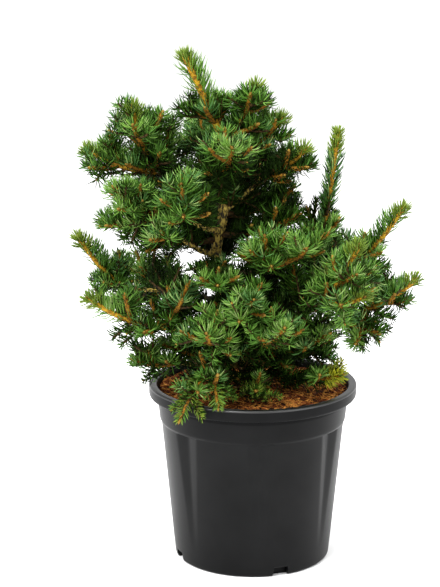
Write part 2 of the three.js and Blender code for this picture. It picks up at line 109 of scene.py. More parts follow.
# Loose bits of each brown: strands of coir and flakes of bark
FIBRE_COUNTS = (500, 800, 1150)
FIBRE_REACH = 118
FIBRE_LENGTHS = (6, 20)
FIBRE_BENDS = (-0.9, 0.9)
FIBRE_LIFTS = (0.2, 1.8)
FIBRE_RADII = (0.3, 0.6)
FIBRE_TAPER = 0.6
FIBRE_STEPS = (3, 3)
CHIP_COUNTS = (200, 320, 330)
CHIP_REACH = 116
CHIP_SIZES = ((1.6, 5.2), (0.8, 2.2), (0.3, 0.9))
CHIP_ROUGHNESS = (0.6, 1.15)
CHIP_TILT = 0.35
CHIP_LIFTS = (-0.3, 1.0)

# Trunk: x, y, height and radius at each whorl of boughs
TRUNK = np.array([
    [0, 0, 222.3, 15],
    [-1, 0, 230, 11.8],
    [-4, -1, 244, 10.2],
    [-14, -2, 290, 9],
    [-38, 0, 350, 8],
    [-47, 0, 392, 7],
    [-38, 0, 440, 6],
    [-31, 0, 485, 5],
    [-36, 0, 520, 4],
    [-42, 0, 546, 3.4],
], dtype=float)
TRUNK_TOP = 546

# Shoots by their order. For each one its needles per millimetre, their length and bends, where they start,
# how far they part on its shaded side, and its wood: the radii, the sides and steps, and the kind
LEADING, SIDE, TWIG, FILLER, BOUGH = range(5)
Order = namedtuple("Order", "density needle bends clothed parting radii tube wood")
ORDERS = (
    Order(3.5, 28, 2, 0.14, 0.42, (4.4, 3.2), (7, 8), "new_wood"),
    Order(2.4, 24, 2, 0.14, 0.46, (3.3, 2.6), (6, 5), "new_wood"),
    Order(1.8, 20, 2, 0.1, 0.36, (2.0, 1.5), (5, 4), "old_wood"),
    Order(1.5, 20, 1, 0.1, 0.3, (1.7, 1.2), (5, 4), "old_wood"),
    Order(2.0, 20, 1, 0.42, 0.2, (4.0, 2.6), None, None),
)

# Growth rule of the part's source
BOUGH_TIP_RADIUS = 2.4
BOUGH_TAPER = 0.016
BOUGH_SAG = 0.06
NEEDLE_LIMITS = (15, 27)
NEEDLE_START = 11
NEEDLE_GROWTH = 0.19
NEEDLE_TILT_BASE = 62
STEM_SAG = 0.08
OWN_SAGS = {"leader": 0, "over_rim": -0.2}
SIDE_SAG = 0.05
SIDE_TILTS = (42, 60)
SIDE_LENGTHS = (0.78, 1.12)
SIDE_TURNS = (-0.3, 0.3)
SIDE_PLACES = (0, 0.06)
SIDE_LIFT = 0.25
SIDE_BARE = 0.35
STEM_BARE_ON_BOUGH = 0.05
STEM_BARE_ON_TRUNK = 0.3
CLOSE_SHARE = 0.5
LIMB_SHARE = 0.5
POT_SHARE = 0.6
TIP_GAP = 15
SPACE = 66
HANG_SHARE = 0.25
NEARLY_UPRIGHT = 0.15

# Each mass of foliage, as in the part's source: height on the trunk, end of its bough, ends of its leading
# shoots, and its side shoots: how many, the place of their second whorl, their length and their first turn
Mass = namedtuple("Mass", "name height bough tips sides whorl length turn")
MASSES = [Mass(*row) for row in (
    ("leader", 546, None, [(-82, -12, 634)], 4, 0, 42, 20),
    ("top_right", 522, None, [(2, -8, 598)], 3, 0.62, 40, 60),
    ("right_top", 505, None, [(34, 10, 556)], 3, 0.7, 34, 90),
    ("upper_front", 500, None, [(-26, -92, 536)], 4, 0.65, 40, 40),
    ("right_upper", 446, (10, -4, 488), [(62, -14, 522)], 4, 0.5, 38, 80),
    ("right_mid", 440, None, [(46, 40, 458)], 3, 0.7, 34, 90),
    ("upper_left", 475, (-120, -12, 494), [(-146, -30, 574), (-202, 0, 518)], 4, 0.5, 46, 10),
    ("left_shelf", 430, (-112, -44, 448), [(-164, -80, 486), (-184, -10, 434)], 3, 0.5, 38, 60),
    ("front_bright", 420, (-80, -70, 452), [(-84, -128, 498)], 4, 0.4, 42, 30),
    ("left_inner", 410, None, [(-132, -30, 420)], 3, 0.72, 38, 60),
    ("left_mid", 388, (-94, -48, 426), [(-108, -100, 438)], 3, 0.6, 34, 0),
    ("far_left", 360, (-158, 16, 342), [(-214, -14, 410)], 3, 0, 38, 90),
    ("left_arm", 300, (-106, -64, 312), [(-196, -82, 350), (-78, -84, 370)], 3, 0.45, 40, 75),
    ("left_low", 262, None, [(-108, -44, 284)], 3, 0.66, 38, 30),
    ("rim_left", 250, (-92, -40, 262), [(-142, -66, 270)], 3, 0.5, 30, 60),
    ("over_rim", 240, (-48, -84, 256), [(-86, -131, 218), (-42, -130, 234)], 2, 0.5, 30, 90),
    ("front_low", 290, (-44, -84, 300), [(-54, -146, 324)], 4, 0.4, 40, 45),
    ("front_mid", 385, None, [(-42, -120, 378)], 4, 0.7, 28, 45),
    ("front_right", 335, None, [(0, -146, 366)], 4, 0.7, 40, 0),
    ("right_front_low", 285, None, [(36, -142, 330)], 4, 0.7, 40, 45),
    ("centre_upright", 370, (18, -62, 386), [(14, -90, 428), (86, -78, 430)], 3, 0.45, 42, 0),
    ("right_heads", 415, None, [(52, -20, 442)], 4, 0.7, 38, 0),
    ("upright", 340, (84, 4, 404), [(103, 0, 540)], 4, 0, 40, 30),
    ("right_up", 320, (128, -16, 386), [(182, -20, 450)], 3, 0, 34, 80),
    ("right_arm", 300, (84, -82, 350), [(124, -104, 420), (128, -124, 364)], 4, 0.45, 42, 80),
    ("right_mid_front", 310, None, [(80, -58, 366)], 3, 0.7, 40, 0),
    ("right_tip", 280, (138, -26, 326), [(196, -44, 366), (127, -66, 296)], 3, 0.4, 34, 60),
    ("right_low", 258, None, [(90, -56, 300)], 3, 0.66, 38, 45),
    ("yellow_low", 240, None, [(106, -58, 250)], 2, 0.75, 30, 90),
    ("soil_front", 236, None, [(4, -100, 242)], 2, 0.6, 30, 20),
    ("back_top", 500, None, [(-76, 112, 544)], 3, 0.6, 44, 45),
    ("back_upper_left", 450, (-110, 60, 462), [(-146, 128, 492)], 3, 0.4, 44, 45),
    ("back_upper_right", 455, None, [(18, 126, 502)], 3, 0.6, 44, 45),
    ("back_left", 330, (-100, 72, 336), [(-176, 118, 354), (-146, 126, 304)], 3, 0.45, 44, 45),
    ("back_mid", 380, (-34, 96, 398), [(-40, 178, 430)], 3, 0.4, 44, 45),
    ("back_right", 335, (84, 70, 346), [(102, 148, 404), (162, 110, 328)], 3, 0.45, 44, 45),
    ("back_low", 270, (16, 94, 286), [(28, 168, 304)], 3, 0.4, 42, 45),
)]
YELLOW_MASSES = ("yellow_low",)
LOW_MASSES = ("over_rim", "soil_front")
# Boughs that stand in the light
LIT_BOUGHS = ("right_upper", "front_bright", "left_mid", "far_left", "left_arm", "rim_left", "over_rim")

# Masses whose leading shoots stand clear, golden and with yellowish tips: all of them, or only the first
LIGHT_MASSES = (
    "leader", "upright", "right_up", "far_left", "right_top", "top_right", "upper_left", "right_arm",
    "right_upper",
)
FIRST_LIGHT_MASSES = ("left_arm", "right_tip")

# Finer growth, which the part's source leaves out
TIP_GROWTH = 5
TWIG_SPOTS = (0.34, 0.56)
TWIG_PITCH = 12
TWIGS_FROM = 0.1
TWIGS_TO = 0.82
LIGHT_TWIGS_TO = 0.34
SHORT_SHOOT = 38
LONG_SHOOT = 44
TWIG_SHARE = 0.6
TWIG_LENGTHS = (0.8, 1.2)
TWIG_TILTS = (44, 62)
TWIG_TURNS = (-0.6, 0.6)
TWIG_SHIFT = 0.9
TWIG_BARE = 0.12
TWIG_GAP = 15
FINE_POT_SHARE = 0.35
PLACED_STARTS = (0.15, 0.85, 15)
PLACED_LENGTH = 30
PLACED_AHEAD = 0.55
PLACED_COST = 30
FILLED_BOUGH = (0.22, 1.0)
FILLED_STEM = (0.12, STEM_BARE_ON_TRUNK)
FILLER_GAP = 10
FILLER_PITCH = 7
FILLER_LENGTHS = (26, 54)
FILLER_TILTS = (50, 80)
FILLER_TURNS = (-0.4, 0.4)
FILLER_BARE = 0.1
FILLED_TRUNK = (246, 530, 3)
TRUNK_FILLER_TURNS = (-0.3, 0.3)
TRUNK_FILLER_LENGTHS = (30, 52)
TRUNK_FILLER_RISES = (0.1, 0.6)
TRUNK_FILLER_BARE = 0.25
BACK_FILLER_LENGTHS = (40, 76)
BACK_FROM = 0.2
GOLDEN_TURN = math.pi * (3 - math.sqrt(5))

# Where the finer growth leaves a view open: x and z in the trunk's plane, half width, and the
# depth y that it opens onto (the trunk, a bough, or the sky behind the crown)
OPEN_SIGHTS = (
    (-42, 418, 9, -5),
    (-44, 398, 9, -5),
    (-66, 403, 6, -20),
    (-88, 420, 6, -40),
    (-83, 386, 8, 200),
    (-68, 342, 7, 200),
    (-24, 382, 2, 200),
    (-34, 448, 5, -8),
    (-20, 461, 5, -8),
    (-49, 560, 5, -4),
    (-56, 574, 5, -5),
    (-152, 392, 7, 200),
    (-151, 379, 7, 200),
    (-152, 367, 6, 200),
    (-184, 444, 6, 200),
    (-174, 445, 6, 200),
    (78, 489, 8, 200),
    (112, 435, 5, 200),
    (-126, 277, 5, 200),
    (-118, 275, 5, 200),
)
SIGHT_SHARE = 0.45

# Tips of the twigs that close the crown where the rules leave it open
PLACED_TIPS = (
    (-170, -82, 304), (-161, -76, 293), (-145, -84, 295), (-152, -96, 312), (-136, -100, 311),
    (-122, -60, 299),
    (-141, -70, 365), (-126, -72, 373), (-113, -66, 365), (-151, -84, 361),
    (-201, -8, 357), (-192, -20, 347), (-184, -4, 347),
    (80, -50, 278), (95, -54, 275), (110, -52, 265), (104, -40, 282), (68, -44, 270), (85, -62, 266),
    (68, -66, 328), (79, -80, 340), (91, -34, 317), (101, -62, 333), (109, -34, 298),
    (98, -50, 312), (85, -60, 309), (74, -62, 299), (94, -60, 296),
    (155, -24, 386), (166, -28, 379), (153, -40, 377), (161, -44, 321), (174, -36, 317),
    (54, 24, 454), (45, 8, 450),
    (-92, -22, 577), (-95, -22, 554), (-84, -6, 509), (-79, 0, 518), (-164, -32, 583), (-155, -24, 586),
    (100, -56, 268), (88, -40, 270), (-90, -14, 566), (134, -62, 284), (139, -50, 291),
    (-161, -24, 413), (-150, -30, 410), (-156, -24, 420), (-64, 45, 410), (-68, 50, 404),
    (-97, -128, 226), (-87, -126, 236), (-75, -128, 239), (-56, -126, 243), (-37, -122, 237),
    (-30, -118, 246),
    (-65, -132, 225), (-44, -128, 227), (34, -104, 237), (16, -106, 232), (2, -108, 234), (-12, -104, 241),
    (16, -8, 592), (10, -8, 598), (20, -8, 586), (-168, -2, 382), (-170, -6, 372), (-168, -30, 568),
    (59, 0, 455), (-80, -10, 590), (-45, -8, 592), (-38, -12, 584),
    (-31, -24, 469), (-38, -32, 477), (-29, -26, 483), (-43, -26, 468), (-33, -30, 491), (-24, -24, 476),
    (-59, -32, 432), (-69, -38, 438), (-76, -42, 432), (-63, -30, 446),
    (110, -8, 420), (-183, -10, 492), (-98, -4, 564), (79, 8, 459), (-193, -68, 366),
    (-60, -134, 217), (-88, -72, 391), (-76, -72, 388), (-91, -72, 381), (-79, -72, 376),
    (-69, -62, 378), (-85, -74, 370),
)

# Needles
FEWEST_NEEDLES = 12
NEEDLE_RADIUS = 0.82
NEEDLE_WIDTHS = (0.75, 1.0, 0.8)
NEEDLE_SHARES = ((225, 262, 330, 500), (0.62, 0.85, 0.92, 1.0))
NEEDLE_SPREAD = (0.84, 1.08)
NEEDLE_SHORTENING = {"upright": 0.74, "front_mid": 0.8, "right_up": 0.9, "over_rim": 0.82, "soil_front": 0.7}
NEEDLE_ROOT = 0.7
LOW_DENSITY = 0.8
FOOT_SHORTENING = 0.2
FOOT_STRETCH = 6
TILT_BASE = 66
TILT_TIP = 38
TILT_SPREAD = 9
OWN_TILTS = {"leader": 52, "upright": 40}
OWN_LIFTS = {"yellow_low": -0.25, "over_rim": 0.1}
BRUSH_FROM = 0.72
CURL = 0.74
CURL_SPREAD = (0.55, 1.15)
AIM_UP = 0.55
AIM_AHEAD = 0.28
AIM_OUT = 0.5
LIGHT_PARTING = 0.56
LIGHT_PARTINGS = {"leader": 0.36, "upright": 0.12, "right_up": 0.4, "left_arm": 0.34, "far_left": 0.46}
STRAY_CURL = 0.35
STRAY_WIDTH = 0.72
TURN_SPREAD = 0.24
# The same on a plain shoot and on a golden one. A darker needle's odds, those of painted shade, are
# multiplied by DARK_SHARE
TIP_CROWDING = (1.12, 1.4)
TIP_SHORTENING = (0.5, 0.52)
TIP_SPREAD = (10, 26)
STRAY_SHARE = (0.13, 0.06)
STRAY_LENGTH = (1, 0.7)
BARED_ODDS = (0.5, 0.75)
DARK_SHARE = (1, 0.45)
# The side that needles turn to: the pull inwards and to the back, against one upwards
INWARD_PULL = 0.7
BACKWARD_PULL = 0.35
INWARD_HEIGHTS = (230, 540)
INWARD_LEAST = 30

# The wood of a leading shoot that shows from the front: its stretch, and how far beside its middle in radii.
# Needles before it are missing by BARED_ODDS
BARED_STRETCH = (0.2, 0.88)
BARED_WIDTH = 0.8
BARED_STEPS = 6
BARED_NEAR = 100

GREENS = ("shade", "dark", "green", "blue", "bright")
# The greens from darkest to lightest, along which needles step into painted shade and painted light; pale is
# reached only by a step lighter
LADDER = ("shade", "dark", "green", "bright", "pale")
# A spray's chances of each green, by its order and by how well it is covered: not, a little, or well.
# Besides tone that differs at random, the finer orders and the better covered sprays get the darker greens
# as painted shade, and the uncovered ones get more bright green as painted light
GREEN_CHANCES = (
    ((0, 0, 0.4, 0.15, 0.45), (0, 0.05, 0.45, 0.2, 0.3), (0, 0.2, 0.45, 0.2, 0.15)),
    ((0, 0, 0.4, 0.2, 0.4), (0, 0.1, 0.45, 0.25, 0.2), (0.2, 0.35, 0.3, 0.12, 0.03)),
    ((0, 0.2, 0.4, 0.25, 0.15), (0.1, 0.4, 0.3, 0.17, 0.03), (0.65, 0.25, 0.08, 0.02, 0)),
    ((0, 0.5, 0.35, 0.15, 0), (0.45, 0.45, 0.1, 0, 0), (0.9, 0.1, 0, 0, 0)),
    ((0, 0.6, 0.4, 0, 0), (0.2, 0.8, 0, 0, 0), (0.5, 0.5, 0, 0, 0)),
)
# Chances of the sprays lowest over the rim and the filling: mostly the darker greens, painted shade
LOW_CHANCES = (0.24, 0.4, 0.26, 0, 0.1)
SHADE_WITHIN = 115
CROWN_MIDDLE = np.array([-20, 0, 330])
COVER_WITHIN = 65
COVER_AHEAD = 8
WELL_COVERED = 3
# Sprays below LOW_TUFT_UNDER take LOW_CHANCES. Finer twigs below DEEP_LOW and within DEEP_WITHIN of the
# trunk take the darkest green, painted shade. Sprays above TOP_FROM, or farther than SHADE_WITHIN from the
# trunk, count as uncovered
LOW_TUFT_UNDER = 246
DEEP_LOW = 300
DEEP_WITHIN = 104
TOP_FROM = 535

# Odds of a needle that is two steps darker than its spray, one step darker, or one step lighter, at the foot
# of the shoot and at its tip. The darker needles, mostly at the foot, are painted shade, and the lighter
# ones, mostly at the tip, are painted light
DEEP_ODDS = (0.4, 0.0)
DARKER_ODDS = (0.8, 0.14)
LIGHTER_ODDS = (0.04, 0.27)

# Shares of a shoot's needles that take the colour of its tip: from where, and how many
TIP_TUFT = 0.8
LOW_TUFT = (0.3, 0.42)
YELLOW_OUT = 88
YELLOW_SHARE = 0.78

# Wood, pegs and buds
DARKER_WOODS = {"leading_wood": "new_wood", "new_wood": "old_wood", "old_wood": "old_wood"}
LOW_WOOD = ((225, 290), (0.5, 1.0))
LIGHT_WOOD = 0.84
LIGHT_WOODS = {"leader": 1.2}
STEM_STEPS = 3
PEG_PITCH = 0.68
PEG_LENGTHS = (1.2, 2.2)
PEG_RADIUS = 0.85
PEG_STRETCH = 1.5
PEG_ROOT = 0.86
PEG_TILT = math.radians(48)
BUD_SHAPE = ((0.0, 0.75), (0.3, 1.0), (0.62, 0.72), (0.86, 0.34), (1.0, 0.05))
BUD_SIDES = 6
BUD_SIZES = (0.75, 1.1)
TIP_BUD = np.array([5.5, 2.1])
SIDE_BUD = np.array([4.2, 1.7])
SIDE_BUD_ODDS = 0.3
SIDE_BUD_PLACES = (4, 9)
TWIG_BUD_SIZE = 0.7
TWIG_BUD_ODDS = 0.12

# Bark: how fine its ridges, scales and scars are, how high, and how much it swells at a bough
BARK_SHIFT = 37.1
BARK_FINENESS = (Vector((0.42, 0.42, 0.13)), Vector((0.55, 0.55, 0.55)), Vector((1.1, 1.1, 1.1)))
BARK_HEIGHTS = (0.16, 0.12, 0.3)
SCARS_FROM = 0.15
TRUNK_BARK_STEP = 1.6
TRUNK_BARK_SIDES = 30
TRUNK_BARK_SUNK = 1.5
TRUNK_BARK_SHARE = 0.94
TRUNK_BARK_RELIEF = 1.2
TRUNK_SMOOTHING = 4
TRUNK_SWELLING = (0.6, 4)
BOUGH_BARK_STEP = 2.2
BOUGH_BARK_SIDES = 14
BOUGH_BARK_END = 1.02
BOUGH_SWELLING = (1.4, 9)

UP = np.array([0.0, 0.0, 1.0])
CORNERS = np.array([[math.cos(a), math.sin(a)] for a in (0, 2 * math.pi / 3, 4 * math.pi / 3)])
MASK = 0xFFFFFFFF
GROWTH_SEED, LOOKS_SEED, BARED_SEED, LITTER_SEED = 7, 21, 33, 5
PIECE_LIMIT = 190000
RELIEF_DEPTH = 0.0006


# Pieces

def placed(name, data):
    """A new object in the scene."""
    thing = bpy.data.objects.new(name, data)
    bpy.context.scene.collection.objects.link(thing)
    return thing


def piece(name, vertices, faces, material, slot, smooth=True):
    """A piece of the plant from corners in millimetres and faces that all have as many corners."""
    vertices = np.asarray(vertices, dtype=np.float64)
    faces = np.asarray(faces, dtype=np.int32)
    mesh = bpy.data.meshes.new(name)
    mesh.vertices.add(len(vertices))
    mesh.vertices.foreach_set("co", (vertices * MM).ravel())
    mesh.loops.add(faces.size)
    mesh.loops.foreach_set("vertex_index", faces.ravel())
    mesh.polygons.add(len(faces))
    mesh.polygons.foreach_set("loop_start", np.arange(0, faces.size, faces.shape[1], dtype=np.int32))
    mesh.update(calc_edges=True)
    if smooth:
        mesh.shade_smooth()
    mesh.materials.append(material)
    thing = placed(name, mesh)
    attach(thing, "root")
    return thing


class Heap:
    """Small meshes of triangles, gathered into one."""

    def __init__(self):
        self.vertices = []
        self.faces = []
        self.count = 0

    def add(self, vertices, faces):
        self.vertices.append(vertices)
        self.faces.append(faces + self.count)
        self.count += len(vertices)

    def pieces(self, name, material, slot, smooth=True):
        """The heap as pieces that each stay under the limit of triangles."""
        batches, size = [[]], 0
        for part in zip(self.vertices, self.faces):
            triangles = len(part[1])
            if size + triangles > PIECE_LIMIT:
                batches.append([])
                size = 0
            batches[-1].append(part)
            size += triangles
        made, first = [], 0
        for i, batch in enumerate(batches):
            vertices, faces = (np.concatenate(arrays) for arrays in zip(*batch))
            title = name if len(batches) == 1 else f"{name}_{i + 1}"
            made.append(piece(title, vertices, faces - first, material, slot, smooth))
            first += len(vertices)
        return made


# Materials

def material(name, dark, light, scale, roughness, bump, stretch=(1, 1, 1), detail=4,
             rough_spread=0.08, specular=0.4, bump_scale=None, edges=(0.3, 0.7)):
    """A surface whose colour wavers between two shades and whose relief and gloss waver with it."""
    made = bpy.data.materials.new(name)
    made.use_nodes = True

    def fill(node, inputs):
        """Sets each input to a value, or joins it to another node's output."""
        for key, value in inputs.items():
            if isinstance(value, bpy.types.NodeSocket):
                made.node_tree.links.new(value, node.inputs[key])
            else:
                node.inputs[key].default_value = value
        return node

    def add(kind, **inputs):
        named = {key.replace("_", " "): value for key, value in inputs.items()}
        return fill(made.node_tree.nodes.new(f"ShaderNode{kind}"), named)

    place = add("TexCoord").outputs["Object"]
    spot = add("Mapping", Vector=place, Scale=stretch).outputs["Vector"]
    patches = add("TexNoise", Vector=spot, Scale=scale, Detail=detail).outputs["Fac"]
    ramp = add("ValToRGB", Fac=patches)
    for element, edge, colour in zip(ramp.color_ramp.elements, edges, (dark, light)):
        element.position = edge
        element.color = (*colour, 1)
    spread = add("MapRange", Value=patches, To_Min=roughness - rough_spread, To_Max=roughness + rough_spread)
    grain = add("TexNoise", Vector=spot, Scale=bump_scale or scale * 4, Detail=3).outputs["Fac"]
    relief = add("Bump", Height=grain, Strength=bump, Distance=RELIEF_DEPTH)
    fill(made.node_tree.nodes["Principled BSDF"], {
        "Base Color": ramp.outputs["Color"],
        "Roughness": spread.outputs["Result"],
        "Normal": relief.outputs["Normal"],
        "Specular IOR Level": specular,
    })
    return made


def shade(text):
    """The linear colour of a plain hexadecimal one."""
    values = [int(text[i:i + 2], 16) / 255 for i in (1, 3, 5)]
    return tuple(v / 12.92 if v <= 0.04045 else ((v + 0.055) / 1.055) ** 2.4 for v in values)


# Curves: arrays of three points

def point(values):
    return np.array(values, dtype=float)


def between(limits, share):
    return limits[0] + (limits[1] - limits[0]) * share


def unit(vector):
    return vector / norm(vector, axis=-1, keepdims=True)


def arc(start, end, sag):
    middle = (start + end) / 2
    middle[2] -= 2 * sag * norm(end - start)
    return np.array([start, middle, end])


def point_at(curve, t):
    t = np.asarray(t, dtype=float)[..., None]
    return curve[0] * (1 - t) ** 2 + curve[1] * 2 * t * (1 - t) + curve[2] * t ** 2


def way_at(curve, t):
    t = np.asarray(t, dtype=float)[..., None]
    return unit((curve[1] - curve[0]) * (1 - t) + (curve[2] - curve[1]) * t)


def stretch_of(curve, a, b):
    """The part of a curve between two of its shares."""
    middle = curve[0] * (1 - a) * (1 - b) + curve[1] * (a + b - 2 * a * b) + curve[2] * a * b
    return np.array([point_at(curve, a), middle, point_at(curve, b)])


def across(way):
    """Two unit vectors across a way: one level, and one square to it and to the way."""
    level = np.cross(way, UP)
    size = norm(level, axis=-1, keepdims=True)
    level = np.where(size > NEARLY_UPRIGHT, level / np.maximum(size, 1e-9), [1.0, 0.0, 0.0])
    return level, unit(np.cross(level, way))


def trunk_at(height):
    return np.array([np.interp(height, TRUNK[:, 2], TRUNK[:, axis]) for axis in range(3)])


def off_way(way, turn):
    """A unit vector square to a way, at a turn round it."""
    level, over = across(way)
    return level * np.cos(turn) + over * np.sin(turn)


def ring_round(way, sides):
    """Unit vectors all round a way, or round each of several."""
    level, over = across(way)
    angles = (np.arange(sides) * 2 * math.pi / sides)[:, None]
    return level[..., None, :] * np.cos(angles) - over[..., None, :] * np.sin(angles)


BOUGHS = {
    mass.name: arc(trunk_at(mass.height), point(mass.bough), BOUGH_SAG) for mass in MASSES if mass.bough
}


# Growth of the shoots

def dice(seed):
    """A seeded generator of even numbers from 0 to 1, the same as in the part's source."""
    state = seed & MASK

    def roll():
        nonlocal state
        state = (state + 0x6D2B79F5) & MASK
        mixed = ((state ^ (state >> 15)) * (state | 1)) & MASK
        mixed ^= (mixed + (mixed ^ (mixed >> 7)) * (mixed | 61)) & MASK
        return (mixed ^ (mixed >> 14)) / 4294967296

    return roll


def seed_of(name):
    return sum(ord(letter) * (i + 1) for i, letter in enumerate(name))


class Shoot:
    def __init__(self, mass, order, curve, length, bare):
        self.mass = mass
        self.order = order
        self.light = False
        self.curve = curve
        self.length = length
        self.bare = bare
        needle = float(np.clip(NEEDLE_START + NEEDLE_GROWTH * length, *NEEDLE_LIMITS))
        self.reach = needle * math.sin(math.radians(NEEDLE_TILT_BASE))
        self.foot = point_at(curve, bare)
        self.tip = curve[2]


def side_shoot(mass, stem, t, turn, tilt, length, order=SIDE, bare=SIDE_BARE):
    """A shoot that leaves a stem at t, tilted off its way and lifted towards the light."""
    way = way_at(stem, t)
    heading = unit(way * math.cos(tilt) + off_way(way, turn) * math.sin(tilt) + UP * SIDE_LIFT)
    start = point_at(stem, t)
    return Shoot(mass, order, arc(start, start + heading * length, SIDE_SAG), length, bare)


def leading_shoots(mass):
    start = point(mass.bough or trunk_at(mass.height))
    bare = STEM_BARE_ON_BOUGH if mass.bough or mass.height == TRUNK_TOP else STEM_BARE_ON_TRUNK
    shoots = []
    for tip in mass.tips:
        end = point(tip)
        curve = arc(start, end, OWN_SAGS.get(mass.name, STEM_SAG))
        shoot = Shoot(mass.name, LEADING, curve, norm(end - start), bare)
        shoot.light = mass.name in LIGHT_MASSES or (not shoots and mass.name in FIRST_LIGHT_MASSES)
        shoots.append(shoot)
        start = point_at(shoots[0].curve, bare)
    return shoots


def side_shoots(mass, leaders):
    roll = dice(seed_of(mass.name))
    shoots = []
    for i, leader in enumerate(leaders):
        places = [leader.bare, mass.whorl] if i == 0 else [mass.whorl]
        for whorl, place in enumerate(p for p in places if p > 0):
            for k in range(mass.sides):
                evenly = 2 * math.pi * (k + 0.5 * whorl) / mass.sides
                turn = math.radians(mass.turn) + evenly + between(SIDE_TURNS, roll())
                tilt = math.radians(between(SIDE_TILTS, roll()))
                length = mass.length * between(SIDE_LENGTHS, roll())
                t = place + between(SIDE_PLACES, roll())
                shoots.append(side_shoot(mass.name, leader.curve, t, turn, tilt, length))
    return shoots


def stretch_gaps(p1, q1, p2, q2):
    """Shortest distances between the stretch p1-q1 and each of the stretches p2-q2."""
    d1, d2, r = q1 - p1, q2 - p2, p1 - p2
    a, e, f = d1 @ d1, np.sum(d2 * d2, axis=1), np.sum(d2 * r, axis=1)
    c, b = r @ d1, d2 @ d1
    spread = a * e - b * b
    s = np.where(spread > 1e-9, np.clip((b * f - c * e) / np.maximum(spread, 1e-9), 0, 1), 0)
    t = (b * s + f) / e
    s = np.where(t < 0, np.clip(-c / a, 0, 1), np.where(t > 1, np.clip((b - c) / a, 0, 1), s))
    t = np.clip(t, 0, 1)
    return norm(p1 + d1 * s[:, None] - (p2 + d2 * t[:, None]), axis=1)


class Room:
    """What the shoots keep clear of: the limbs, the pot and each other."""

    def __init__(self, kept):
        boughs = BOUGHS.values()
        self.limb_from = np.array([*TRUNK[:-1, :3], *(bough[0] for bough in boughs)])
        self.limb_to = np.array([*TRUNK[1:, :3], *(bough[2] for bough in boughs)])
        self.limb_radius = np.array([*TRUNK[:-1, 3], *(BOUGH_TIP_RADIUS for _ in boughs)])
        self.kept = kept

    def all_kept(self, trait):
        return np.array([getattr(other, trait) for other in self.kept])

    def touches_pot(self, shoot, share=POT_SHARE):
        low = min(shoot.foot[2], shoot.tip[2]) - share * shoot.reach
        out = max(math.hypot(*shoot.foot[:2]), math.hypot(*shoot.tip[:2]))
        return low < FILLING_TOP and out < RIM_RADIUS + shoot.reach

    def leaves_space(self, shoot, leaders):
        gaps = []
        for leader in leaders:
            stretch = leader.tip - leader.foot
            along = np.clip((shoot.tip - leader.foot) @ stretch / (stretch @ stretch), 0, 1)
            gaps.append(norm(leader.foot + stretch * along - shoot.tip))
        return min(gaps) + shoot.reach > SPACE

    def crowds(self, shoot):
        feet, tips = self.all_kept("foot"), self.all_kept("tip")
        close = CLOSE_SHARE * (shoot.reach + self.all_kept("reach"))
        return np.where(
            self.all_kept("mass") == shoot.mass,
            norm(tips - shoot.tip, axis=1) < TIP_GAP,
            stretch_gaps(shoot.foot, shoot.tip, feet, tips) < close,
        ).any()

    def meets_limb(self, shoot):
        gaps = stretch_gaps(shoot.foot, shoot.tip, self.limb_from, self.limb_to)
        return (gaps < self.limb_radius + LIMB_SHARE * shoot.reach).any()

    def has_room(self, shoot, leaders):
        if shoot.curve[0][2] - shoot.tip[2] > HANG_SHARE * shoot.length:
            return False
        if self.touches_pot(shoot) or self.leaves_space(shoot, leaders):
            return False
        return not self.crowds(shoot) and not self.meets_limb(shoot)

    def blocks_sight(self, shoot):
        eye = np.array(CAMERA_PLACE) / MM
        for x, z, wide, depth in OPEN_SIGHTS:
            if shoot.tip[1] > depth:
                continue
            ray = unit(point([x, 0, z]) - eye)
            end = eye + ray * (depth - eye[1]) / ray[1]
            gap = stretch_gaps(eye, end, shoot.foot[None], shoot.tip[None])[0]
            if gap < wide + SIGHT_SHARE * ORDERS[shoot.order].needle:
                return True
        return False

    def fit_in(self, shoot, gap):
        """Keeps one of the finer twigs, whose needles may mingle, where a looser test lets it."""
        if self.touches_pot(shoot, FINE_POT_SHARE) or self.blocks_sight(shoot):
            return
        if norm(self.all_kept("tip") - shoot.tip, axis=1).min() > gap:
            self.kept.append(shoot)


def grow():
    """The shoots of the part's source, and then the finer twigs that it leaves out."""
    leaders = [leading_shoots(mass) for mass in MASSES]
    room = Room([shoot for group in leaders for shoot in group])
    for mass, group in zip(MASSES, leaders):
        for shoot in side_shoots(mass, group):
            if room.has_room(shoot, group):
                room.kept.append(shoot)
    main = list(room.kept)
    rng = np.random.default_rng(GROWTH_SEED)
    limbs = [*((shoot.mass, shoot.curve) for shoot in main), *BOUGHS.items()]
    room.kept += [placed_twig(limbs, point(tip)) for tip in PLACED_TIPS]
    for shoot in main:
        add_twigs(room, shoot, rng)
    for name, bough in BOUGHS.items():
        add_filler(room, name, bough, FILLED_BOUGH, rng)
    for shoot in main:
        if shoot.order == LEADING and shoot.bare == STEM_BARE_ON_TRUNK:
            add_filler(room, shoot.mass, shoot.curve, FILLED_STEM, rng)
    add_trunk_filler(room, rng)
    for shoot in main:
        if shoot.order == LEADING:
            shoot.curve[2] += way_at(shoot.curve, 1.0) * TIP_GROWTH
    clothed = (
        Shoot(name, BOUGH, bough, norm(bough[2] - bough[0]), 0) for name, bough in BOUGHS.items()
    )
    return [*room.kept, *clothed]


def placed_twig(limbs, tip):
    """A twig that ends at a tip, from the limb that best leads there."""
    t = np.linspace(*PLACED_STARTS)
    choices = []
    for mass, curve in limbs:
        gaps = tip - point_at(curve, t)
        sizes = norm(gaps, axis=1)
        ahead = np.sum(gaps * way_at(curve, t), axis=1) / sizes
        costs = np.abs(sizes - PLACED_LENGTH) + PLACED_COST * np.maximum(0, PLACED_AHEAD - ahead)
        k = int(costs.argmin())
        choices.append((costs[k], mass, tip - gaps[k], sizes[k]))
    _, mass, start, size = min(choices, key=lambda choice: choice[0])
    return Shoot(mass, TWIG, arc(start, tip, SIDE_SAG), size, TWIG_BARE)


